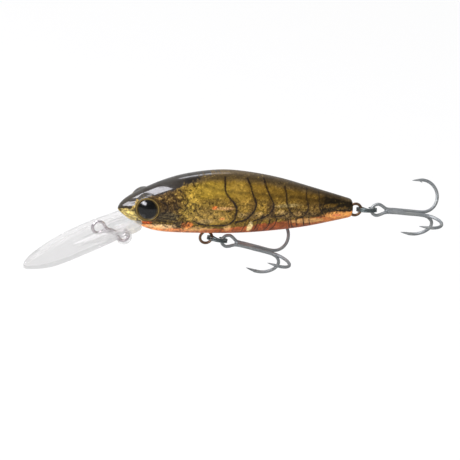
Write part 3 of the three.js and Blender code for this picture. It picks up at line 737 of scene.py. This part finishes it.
bellyPatches = [
    (13.0, 3.0, 1.5, 0.9, (236, 104, 30), 0.95, 0.3),
    (17.5, 1.9, 4.4, 0.9, (232, 190, 134), 0.75, 0.7),
    (27.5, 1.3, 5.0, 0.9, (196, 152, 92), 0.7, 0.8),
    (24.6, 2.6, 1.6, 1.4, (222, 128, 58), 0.8, 0.6),
    (43.2, 1.9, 0.8, 2.2, (222, 196, 134), 0.85, 0.4),
    (36.5, 1.6, 1.3, 1.4, (214, 168, 104), 0.6, 0.5),
    (60.0, 3.4, 6.2, 0.9, (182, 138, 78), 0.8, 0.3),
    (69.6, 4.9, 5.0, 1.1, (206, 140, 70), 0.95, 0.2),
    (69.3, 4.7, 1.7, 0.5, (196, 104, 66), 0.7, 0.3),
]
backEdge = [(8.4, 7.8), (9.6, 9.3), (11.4, 10.3), (14.2, 11.2), (17, 11.8), (20.4, 12.9),
            (23, 14.2), (26, 15.4), (29.5, 16.6), (34, 17.6), (36, 30)]
bellyEdge = [(8, -2), (12, 2.4), (16.8, 2.0), (22, 1.4), (28.5, 1.3), (36, 1.4), (42, 2.4), (52.1, 3.6),
             (61.1, 4.3), (66, 5.0), (75, 5.8)]


def sRgb(colour):
    return np.array(paint(*colour)[:3])


def paintBody(piece):
    points = readPoints(piece)
    x, z = points[:, 0], points[:, 2]
    top, bottom = section(x)[:2]
    level = (z - bottom) / np.maximum(top - bottom, 0.1)       # 0 at the belly, 1 on the back
    wobble = valueNoise(x, z, 1.1, 11) + 0.5 * valueNoise(x, z, 0.45, 12)
    fine = valueNoise(x, z, 0.35, 13)
    stops = [6, 14, 22, 30, 38, 46, 54, 62, 70, 75]
    flank = [(176, 150, 84), (80, 60, 30), (112, 88, 32), (122, 96, 26), (114, 88, 26), (108, 82, 24),
             (98, 74, 22), (84, 62, 20), (54, 40, 16), (36, 26, 12)]
    columns = np.array([sRgb(colour) for colour in flank])
    colour = np.stack([np.interp(x, stops, columns[:, i]) for i in range(3)], 1)
    grain = np.interp(x, [6, 12, 22, 26, 34, 44, 66, 74], [0.9, 0.8, 0.9, 0.75, 0.6, 0.7, 0.75, 0.6])
    foil = np.full(len(x), 0.55)

    def lay(mask, tone, strength=1.0):
        share = (np.clip(mask, 0, 1) * strength)[:, None]
        colour[:] = colour * (1 - share) + sRgb(tone) * share

    def blot(patch):
        px, pz, rx, rz, tone, strength, ragged = patch
        away = np.hypot((x - px) / rx, (z - pz) / rz) + ragged * 0.35 * wobble
        lay(smoothstep(1.15 - away, 0, 0.55), tone, strength)

    for patch in patches:
        blot(patch)
    colour *= (1 + 0.22 * wobble * grain)[:, None]
    # the carapace and the first segments are smoother near the top
    smoothTop = smoothstep(level, 0.55, 0.75) * smoothstep(x, 26, 29)
    grain = grain * (1 - 0.55 * smoothTop)
    # back: a dark olive band along the ridge
    ridge = smoothstep(level + 0.02 * wobble, 0.86, 0.95) * smoothstep(x, 20, 25)
    lay(ridge, (78, 64, 42), 0.8)
    # belly
    edgeZ = np.interp(x, *zip(*bellyEdge))
    below = smoothstep(edgeZ - z + 0.25 * wobble, -0.25, 0.35)
    bellyTones = [(12, (236, 152, 84)), (22, (200, 122, 68)), (34, (160, 86, 40)), (46, (146, 70, 28)),
                  (56, (128, 66, 28)), (64, (150, 82, 36)), (74, (188, 118, 54))]
    tones = np.array([sRgb(tone) for _, tone in bellyTones])
    under = np.stack([np.interp(x, [p for p, _ in bellyTones], tones[:, i]) for i in range(3)], 1)
    streaks = 1 + 0.3 * valueNoise(x + 0.2 * z, z * 0.25, 0.4, 21) + 0.2 * wobble
    under = under * streaks[:, None]
    colour = colour * (1 - below[:, None]) + under * below[:, None]
    grain = grain * (1 - 0.62 * below)
    foil = foil * (1 - 0.6 * below)
    for patch in bellyPatches:
        blot(patch)
    keelLine = smoothstep(0.9 - (z - bottom) + 0.2 * wobble, 0, 0.5)
    keelLine = keelLine * smoothstep(x, 26, 34) * (1 - smoothstep(x, 60, 64))
    lay(keelLine, (188, 78, 26), 0.8)
    # black head and snout
    backZ = np.interp(x, *zip(*backEdge), left=6.4)
    black = smoothstep(z - backZ + 0.5 * wobble + 0.35 * fine, -0.15, 0.3)
    snoutZ = np.interp(x, [5, 6, 7.5, 8.6], [5.7, 6.3, 6.9, 7.9])
    black = np.maximum(black, smoothstep(z - snoutZ, -0.1, 0.2) * (x < 9.2))
    lay(black, (27, 23, 19), 0.97)
    grain = grain * (1 - 0.95 * black)
    foil = foil * (1 - black)
    # rim round the eye
    for side in (-1, 1):
        height, radius = roundEye(points, side)[:2]
        near = (points[:, 1] * side > 0) & (height > -1.5)
        rim = near * smoothstep(eye["rimRadius"] - radius, 0, 0.25)
        lay(rim, (40, 32, 18), 0.9)
        lay(near * smoothstep(0.16 - np.abs(radius - eye["rimLine"]), 0, 0.12), (128, 104, 46), 0.85)
        grain = grain * (1 - 0.8 * rim)
    ink = np.zeros(len(x))
    for line, width, strength, waviness in inkLines:
        away = distanceTo(line, x + waviness * wobble, z + waviness * valueNoise(x, z, 0.8, 14))
        ink = np.maximum(ink, strength * (1 - smoothstep(away + 0.07 * fine, width * 0.8, width * 1.9)))
    shade = np.zeros(len(x))
    for line, width, strength in softStripes:
        away = distanceTo(line, x, z)
        shade = np.maximum(shade, strength * (1 - smoothstep(away + 0.12 * wobble, width * 0.4, width * 1.6)))
    for line in [row[0] for row in inkLines[:4]]:
        away = distanceTo(line, x, z)
        shade = np.maximum(shade, 0.3 * (1 - smoothstep(away, 0.1, 1.0)))
    ink = ink * (1 - black)
    mesh = piece.data
    printed = mesh.attributes.new("print", "FLOAT_COLOR", "POINT")
    opaque = np.concatenate([colour, np.ones((len(x), 1))], 1).astype(np.float32)
    printed.data.foreach_set("color", opaque.ravel())
    for name, values in (("ink", ink), ("shade", shade), ("grain", grain), ("foil", foil), ("black", black)):
        mesh.attributes.new(name, "FLOAT", "POINT").data.foreach_set("value", values.astype(np.float32))


def makePrintedShell():
    look = Finish("printedShell")
    base = look.attribute("print", "Color")
    ink, shade, grain = [look.attribute(name) for name in ("ink", "shade", "grain")]
    foil, black = look.attribute("foil"), look.attribute("black")
    coarse = look.noise(820, 4, 0.72, 1.0)
    speck = look.noise(1700, 3, 0.6, 0.5)
    vein = look.noise(760, 2, 0.5, 1.8)
    crackle = (coarse - 0.5) * 7.0 + (speck - 0.5) * 4.6
    gain = (1 + grain * crackle).atLeast(0.14).atMost(2.5)
    veins = (1 - abs(vein - 0.5).between(0.006, 0.03)) * grain
    colour = look.brighten(base, gain * (1 - 0.7 * veins) * (1 - 0.75 * shade))
    # painted highlight: pale gold glints mixed into the base colour where the foil noise peaks, standing in
    # for the foil's sparkle
    paintedGlint = (coarse * 0.6 + speck * 0.4).between(0.56, 0.68) * grain
    colour = look.mix(colour, paint(236, 202, 98), paintedGlint * 0.55)
    broken = look.noise(1500, 2, 0.6).between(0.3, 0.5, 0.5, 1)
    colour = look.mix(colour, paint(22, 15, 10), ink * broken)
    relief = look.bump(coarse * grain * 0.7 + speck * grain * 0.3 - ink * 0.3, 0.00012, 0.55)
    metal = (foil * grain * (1 - ink) * 0.55).atLeast(0)
    gloss = (0.34 + 0.2 * speck * grain) * (1 - black) + black * 0.3
    worn = look.noise(520, 3, 0.7).between(0.38, 0.5, 0.45, 1)
    lacquer = (0.32 + 0.68 * black) * (worn.atLeast(look.noise(60, 1).between(0.4, 0.55)))
    return look.surface(
        baseColor=colour, roughness=gloss, metallic=metal, coatWeight=lacquer, coatRoughness=0.035,
        coatIOR=1.65, iOR=1.32, normal=relief)


def boxAt(centre, size):
    bpy.ops.mesh.primitive_cube_add(size=1)
    block = bpy.context.object
    block.data.transform(Matrix.Translation(centre) @ Matrix.Diagonal((*size, 1)))
    return block


def hollowForm():
    form = bodyForm("hollow", 60, 48, body["wall"])
    low, high = body["noseX"] + body["headSolid"], tailX - body["tailSolid"]
    block = boxAt(((low + high) / 2, 0, 8), (high - low, 30, 40))
    cutAway(form, block, "INTERSECT")
    discard(block)
    return form


def socketTool(side):
    floor, outward, upward = eyeFrame(side)
    radius = eye["radius"] + eye["clearance"]
    tool = latheAlongZ("socket", [(0, 0), (radius, 0), (radius, 6), (0, 6)], 96)
    places = turned([v.co for v in tool.data.vertices], floor, outward, upward)
    for vertex, place in zip(tool.data.vertices, places):
        vertex.co = place
    facesOutward(tool)
    return tool


def halfBlock(side):
    return boxAt((40, side * (10 + body["partingGap"] / 2), 8), (120, 20, 60))


def makeShell():
    rows, sides = ((600, 272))
    whole = bodyForm("shell", rows, sides)
    raiseBrows(whole)
    tools = [
        hollowForm(), socketTool(-1), socketTool(1),
        lipPlate(lip["clearance"]), lipKeel(lip["clearance"])]
    for tool in tools:
        cutAway(whole, tool)
    discard(*tools)
    look = makePrintedShell()
    for name, side in (("left", -1), ("right", 1)):
        half = whole.copy()
        half.data = whole.data.copy()
        scene.collection.objects.link(half)
        block = halfBlock(side)
        cutAway(half, block, "INTERSECT")
        discard(block)
        paintBody(half)
        finishPiece(half, "shell_printed_" + name, "root", look, "body_shell_" + name, 38)
        print("shell", name, len(half.data.vertices), "points")
    discard(whole)


makeShell()
print("body made")


# ---- eyes

def makeEyeLook(name, gloss, coat):
    look = Finish(name)
    radius = look.attribute("radius")
    fleck = look.noise(1800, 3)
    ring = radius.between(2.64, 2.7)
    gold = look.mix(paint(84, 66, 28), paint(150, 124, 58), fleck)
    pupil = look.mix(paint(9, 9, 9), paint(15, 15, 14), look.noise(260, 2))
    return look.surface(
        baseColor=look.mix(pupil, gold, ring), roughness=gloss - 0.05 * fleck, metallic=ring * 0.6,
        coatWeight=coat, coatRoughness=0.02, coatIOR=1.6)


def makeEyes():
    discLook = makeEyeLook("eyePrint", 0.32, 0.0)
    domeLook = makeEyeLook("eyeResin", 0.2, 1.0)
    clear, thick, depth = eye["clearance"], eye["discThickness"], eye["socketDepth"]
    full = eye["radius"]
    for name, side in (("left", -1), ("right", 1)):
        floor, outward, upward = eyeFrame(side)
        rings = [(0, clear), (full * 0.5, clear), (full * 0.98, clear), (full, clear + 0.04)]
        rings += [(full, clear + thick - 0.04)]
        rings += [(full * s, clear + thick) for s in np.linspace(0.985, 0.05, 24)] + [(0, clear + thick)]
        base = thick + 2 * clear
        ball = (full ** 2 + eye["domeHeight"] ** 2) / (2 * eye["domeHeight"])
        outline = [
            (0, base), (full * 0.5, base), (full * 0.97, base), (full, base + 0.05),
            (full, depth - 0.06)]
        for step in np.linspace(0.992, 0.02, 40):
            rise = math.sqrt(ball ** 2 - (full * step) ** 2) - ball
            outline.append((full * step, depth + rise + eye["domeHeight"]))
        outline.append((0, depth + eye["domeHeight"]))
        flat, cap = latheAlongZ("disc", rings, 72), latheAlongZ("dome", outline, 96)
        for piece in (flat, cap):
            own = readPoints(piece)
            radii = piece.data.attributes.new("radius", "FLOAT", "POINT")
            radii.data.foreach_set("value", np.hypot(own[:, 0], own[:, 1]).astype(np.float32))
            writePoints(piece, np.array(turned(own, floor, outward, upward)))
        finishPiece(flat, "eye_print_" + name, "root", discLook, "eye_disc_" + name, 30)
        finishPiece(cap, "eye_resin_" + name, "root", domeLook, "eye_dome_" + name, 40)


makeEyes()
print("eyes made")


# ---- wires

wires = {
    "tie": 0.9, "tieFront": 1.75, "tieRear": 1.5,
    "hanger": 0.8, "hangerLoop": 1.75, "hangerInner": 1.15, "hangerLength": 6.4, "neckGap": 0.05,
    "bellyHangerX": 31.9, "bellyHangerDrop": 1.7, "tailHangerZ": 5.5, "tailHangerReach": 1.1,
}


def smoothPath(points, spacing=0.12):  # a centripetal spline through the points, evenly resampled
    points = [np.array(p, float) for p in points]
    points = [2 * points[0] - points[1]] + points + [2 * points[-1] - points[-2]]
    rows = []
    for p0, p1, p2, p3 in zip(points, points[1:], points[2:], points[3:]):
        t0 = 0.0
        t1 = t0 + max(np.linalg.norm(p1 - p0), 1e-9) ** 0.5
        t2 = t1 + max(np.linalg.norm(p2 - p1), 1e-9) ** 0.5
        t3 = t2 + max(np.linalg.norm(p3 - p2), 1e-9) ** 0.5
        for t in np.linspace(t1, t2, 24, endpoint=False):
            a1 = (t1 - t) / (t1 - t0) * p0 + (t - t0) / (t1 - t0) * p1
            a2 = (t2 - t) / (t2 - t1) * p1 + (t - t1) / (t2 - t1) * p2
            a3 = (t3 - t) / (t3 - t2) * p2 + (t - t2) / (t3 - t2) * p3
            b1 = (t2 - t) / (t2 - t0) * a1 + (t - t0) / (t2 - t0) * a2
            b2 = (t3 - t) / (t3 - t1) * a2 + (t - t1) / (t3 - t1) * a3
            rows.append((t2 - t) / (t2 - t1) * b1 + (t - t1) / (t2 - t1) * b2)
    rows.append(points[-2])
    rows = np.array(rows)
    walked = np.concatenate([[0], np.cumsum(np.linalg.norm(np.diff(rows, axis=0), axis=1))])
    even = np.linspace(0, walked[-1], max(4, int(walked[-1] / spacing)))
    return np.stack([np.interp(even, walked, rows[:, i]) for i in range(3)], 1), even


def tube(name, path, radius, sides=20):        # radius is one number, or one for each point of the path
    curve = bpy.data.curves.new(name, "CURVE")
    curve.dimensions = "3D"
    curve.bevel_depth, curve.bevel_resolution, curve.use_fill_caps = 1.0, sides // 4 - 1, True
    spline = curve.splines.new("POLY")
    spline.points.add(len(path) - 1)
    radii = np.broadcast_to(radius, len(path))
    for point, place, size in zip(spline.points, path, radii):
        point.co, point.radius = (*place, 1), float(size)
    piece = bpy.data.objects.new(name, curve)
    scene.collection.objects.link(piece)
    makeActive(piece)
    bpy.ops.object.convert(target="MESH")
    piece = bpy.context.object
    facesOutward(piece)
    return piece


def figureEight(outer, inner, length, diameter):
    strand = (diameter + wires["neckGap"]) / 2
    middle = (outer + length - inner) / 2
    gap = wires["neckGap"]
    points = [(middle + gap, 0, strand), (length - inner - 0.55, 0, strand)]
    for turn in np.arange(142, -143, -28.4):
        angle = math.radians(turn)
        points.append((length + inner * math.cos(angle), 0, inner * math.sin(angle)))
    points += [(length - inner - 0.55, 0, -strand), (outer + 0.6, 0, -strand)]
    for turn in np.arange(-38, -323, -28.4):
        angle = math.radians(turn)
        points.append((outer * math.cos(angle), 0, outer * math.sin(angle)))
    points += [(outer + 0.6, 0, strand), (middle - gap, 0, strand)]
    return smoothPath(points)[0]


def makeMetal(name, colour, worn, roughness, streak=1.0, metal=1.0):
    look = Finish(name)
    fine = look.noise(2600, 3, 0.6)
    broad = look.noise(320, 2)
    tone = look.mix(paint(*colour), paint(*worn), (broad * 0.6 + fine * 0.4 * streak).between(0.35, 0.7))
    gloss = roughness + 0.12 * fine * streak + 0.06 * broad
    return look.surface(baseColor=tone, metallic=metal, roughness=gloss, normal=look.bump(fine, 0.00001, 0.5))


chromeLook = makeMetal("brightWire", (214, 208, 210), (190, 184, 188), 0.1, 0.3, 0.75)
bronzeLook = makeMetal("bronzedWire", (146, 116, 92), (108, 82, 62), 0.24, 0.6, 0.85)
ringLook = makeMetal("darkNickel", (102, 111, 111), (76, 84, 86), 0.2, 0.4, 0.7)
hookLook = makeMetal("satinHookSteel", (134, 138, 140), (156, 158, 155), 0.36, 0.8, 0.55)


def placeMesh(piece, turnY, spot):
    turn = Matrix.Rotation(turnY, 4, "Y")
    piece.data.transform(Matrix.Translation(spot) @ turn)
    return piece


bellyLoop = (wires["bellyHangerX"], 0, float(section(wires["bellyHangerX"])[1]) - wires["bellyHangerDrop"])
tailLoop = (tailX + wires["tailHangerReach"], 0, wires["tailHangerZ"])


def makeWires():
    tieLength, tieTurn = math.hypot(*tieRear), math.atan2(-tieRear[1], tieRear[0])
    outline = figureEight(wires["tieFront"], wires["tieRear"], tieLength, wires["tie"])
    tie = tube("tie", outline, wires["tie"] / 2, 24)
    placeMesh(tie, tieTurn, (0, 0, 0))
    finishPiece(tie, "tie_wire", "root", chromeLook, "line_tie_wire", 60)
    eight = figureEight(wires["hangerLoop"], wires["hangerInner"], wires["hangerLength"], wires["hanger"])
    for name, turnY, spot in (("belly", -math.pi / 2, bellyLoop), ("tail", math.pi, tailLoop)):
        hanger = placeMesh(tube(name, eight, wires["hanger"] / 2, 24), turnY, spot)
        finishPiece(hanger, name + "_hanger", "root", bronzeLook, name + "_hanger_wire", 60)


makeWires()
print("wires made")


# ---- split rings and treble hooks, modelled once in their own frames

ring = {
    "radius": 2.65, "width": 0.7, "height": 0.54, "pitch": 0.58, "crossover": 55.0, "play": 0.0984,
    "corner": 0.16, "bellyAngle": 9.5, "tailAngle": 0.5, "bellyRoll": -12.5, "tailRoll": -14.5,
}
loopInside = wires["hangerLoop"] - wires["hanger"] / 2
ringStack = (ring["pitch"] + ring["height"]) / 2
ringSeat = math.sqrt(loopInside ** 2 - ringStack ** 2) - ring["width"] / 2 - ring["play"]


def ringSection():                    # a rounded rectangle
    half, tall, corner = ring["width"] / 2, ring["height"] / 2, ring["corner"]
    spots = []
    for cx, cz, start in ((1, 1, 0), (-1, 1, 90), (-1, -1, 180), (1, -1, 270)):
        for turn in (0, 30, 60, 90):
            angle = math.radians(start + turn)
            spots.append((cx * (half - corner) + corner * math.cos(angle),
                          cz * (tall - corner) + corner * math.sin(angle)))
    return spots


def splitRing(name):
    crossover = math.radians(ring["crossover"])
    turns = 4 * math.pi - crossover
    outline = ringSection()
    count, steps = len(outline), 260
    points, faces = [], []
    for step in range(steps + 1):
        angle = turns * step / steps
        climb = float(smoothstep(angle, 2 * math.pi - crossover, 2 * math.pi - 0.05)) - 0.5
        place = angle + math.pi / 2 + crossover / 2
        taper = min(1.0, 0.35 + step / 8, 0.35 + (steps - step) / 8)
        for out, rise in outline:
            radius = ring["radius"] + out * taper
            points.append((ringSeat + ring["radius"] + radius * math.cos(place), radius * math.sin(place),
                           rise * taper + ring["pitch"] * climb))
    for step in range(steps):
        for corner in range(count):
            a, b = step * count + corner, step * count + (corner + 1) % count
            faces.append((a, a + count, b + count, b))
    faces.append(tuple(range(count)))
    faces.append(tuple(reversed(range(steps * count, (steps + 1) * count))))
    piece = meshObject(name, points, faces)
    facesOutward(piece)
    return piece


hook = {
    "wire": 0.95, "play": 0.05, "eyeLoop": 1.75, "strandGap": 0.0546, "shank": 15.1, "bend": 4.65,
    "point": 3.6, "turnIn": 0.45, "barb": 1.15, "roll": 27.7, "bellyAngle": 14.8, "tailAngle": 5.4,
    "voxel": 0.075,
}
spread = (hook["wire"] + hook["strandGap"]) / math.sqrt(3)
eyeFront = -(math.hypot(ring["width"] / 2, ringStack) + hook["play"] + hook["wire"] / 2)
bendX = eyeFront + hook["shank"]


def around(angle, x, radius):
    return (x, radius * math.sin(angle), radius * math.cos(angle))


def bendPoints(angle):
    rows = []
    for turn in range(0, 181, 20):
        bend = math.radians(turn)
        reach = bendX + hook["bend"] * math.sin(bend)
        rows.append(around(angle, reach, spread + hook["bend"] * (1 - math.cos(bend))))
    return rows


def tipPoints(angle):                 # from the end of the bend to the point
    far = spread + 2 * hook["bend"]
    start, length = bendX + 0.3, hook["point"]
    return [around(angle, start - length * s, far - hook["turnIn"] * s ** 1.5) for s in (0.3, 0.65, 1.0)]


def hookTube(name, points, tipEnds):
    path, walked = smoothPath(points, 0.14)
    radius = np.full(len(path), hook["wire"] / 2)
    for end in tipEnds:
        away = walked if end == "start" else walked[-1] - walked
        grind = np.clip(away / (hook["point"] * 0.85), 0, 1)
        radius = np.minimum(radius, hook["wire"] / 2 * (0.07 + 0.93 * grind ** 0.72))
    return tube(name, path, radius, 16)


def barbSpike(angle):
    far = spread + 2 * hook["bend"]
    root = around(angle, bendX - 1.25, far - 0.22)
    middle = around(angle, bendX - 0.7, far - 0.42)
    tip = around(angle, bendX - 1.25 + hook["barb"], far - hook["wire"] * 0.92)
    path, walked = smoothPath([root, middle, tip], 0.1)
    return tube("barb", path, lerp(0.3, 0.04, (walked / walked[-1]) ** 0.8), 12)


def trebleDouble():
    upper = math.radians(hook["roll"])
    lower, plane = upper + 2 * math.pi / 3, upper - math.pi / 6
    shoulder = hook["eyeLoop"] + eyeFront
    half = [(shoulder + 2.55, 0.62), (shoulder + 1.75, 1.02), (shoulder + 0.9, 1.5),
            (shoulder, hook["eyeLoop"]), (shoulder - 1.2, hook["eyeLoop"] * 0.72)]
    points = tipPoints(upper)[::-1] + bendPoints(upper)[::-1]
    points += [around(upper, bendX * 0.72, spread), around(upper, bendX * 0.44, spread)]
    points += [around(plane, x, out) for x, out in half] + [around(plane, eyeFront, 0)]
    points += [around(plane + math.pi, x, out) for x, out in half[::-1]]
    points += [around(lower, bendX * 0.44, spread), around(lower, bendX * 0.72, spread)]
    points += bendPoints(lower) + tipPoints(lower)
    pieces = [hookTube("double", points, ("start", "end")), barbSpike(upper), barbSpike(lower)]
    braze, walked = smoothPath([(shoulder + 2.2, 0, 0), (shoulder + 4, 0, 0), (shoulder + 8.1, 0, 0)], 0.12)
    ends = np.minimum(walked, walked[-1] - walked)
    pieces.append(tube("braze", braze, 0.74 * np.sqrt(np.clip(ends / 0.5, 0.05, 1)), 20))
    return softened(joinPieces(*pieces), hook["voxel"] * (1), 3)


def trebleSingle():
    angle = math.radians(hook["roll"]) - 2 * math.pi / 3
    points = [around(angle, bendX * 0.27, spread), around(angle, bendX * 0.62, spread)]
    points += bendPoints(angle) + tipPoints(angle)
    pieces = [hookTube("single", points, ("end",)), barbSpike(angle)]
    return softened(joinPieces(*pieces), hook["voxel"] * (1), 3)


def hangTackle():
    ringModel, doubleModel, singleModel = splitRing("ring"), trebleDouble(), trebleSingle()
    for name, loop, angle, roll, hookAngle in (
            ("belly", bellyLoop, ring["bellyAngle"], ring["bellyRoll"], hook["bellyAngle"]),
            ("tail", tailLoop, ring["tailAngle"], ring["tailRoll"], hook["tailAngle"])):
        ringPlace = Matrix.Translation(loop) @ Matrix.Rotation(math.radians(angle), 4, "Y")
        hookPlace = ringPlace @ Matrix.Translation((ringSeat + 2 * ring["radius"], 0, 0)) @ Matrix.Rotation(
            math.radians(hookAngle - angle), 4, "Y")
        ringRolled = ringPlace @ Matrix.Rotation(math.radians(roll), 4, "X")
        models = (
            (ringModel, ringRolled, "_ring", "_split_ring", "_ring", "dark_nickel", ringLook),
            (doubleModel, hookPlace, "_hook_double", "_treble_double", "_treble", "hook_steel", hookLook),
            (singleModel, hookPlace, "_hook_single", "_treble_single", "_treble", "hook_steel", hookLook))
        for model, place, ending, node, bodyName, slotName, look in models:
            piece = model.copy()
            piece.data = model.data.copy()
            piece.data.transform(place)
            scene.collection.objects.link(piece)
            finishPiece(piece, name + ending, name + bodyName, look, name + node, 55)
    discard(ringModel, doubleModel, singleModel)


hangTackle()
print("rings and hooks made")


# ---- inner pieces keep their shapes and take finishes

def makeFoil():
    look = Finish("crinkledFoil")
    crease = look.cells(500, "DISTANCE_TO_EDGE")
    wave = look.noise(700, 4, 0.6, 1.0)
    tone = look.mix(paint(214, 176, 84), paint(176, 132, 50), wave)
    return look.surface(
        baseColor=tone, metallic=1.0, roughness=0.18 + 0.2 * wave,
        normal=look.bump(crease.between(0, 0.3) + wave, 0.0001, 0.7))


innerLooks = {
    "foil_liner_left": makeFoil(), "foil_liner_right": None,
    "belly_ballast": makeMetal("turnedBrass", (196, 160, 84), (150, 116, 56), 0.28, 1.0),
    "transfer_ball": makeMetal("tungstenBall", (110, 112, 116), (86, 88, 92), 0.3, 1.0),
}
innerLooks["foil_liner_right"] = innerLooks["foil_liner_left"]
for nodeName, look in innerLooks.items():
    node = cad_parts[nodeName]
    node.data.materials.clear()
    node.data.materials.append(look)
print("inner pieces finished")

clearSelection()
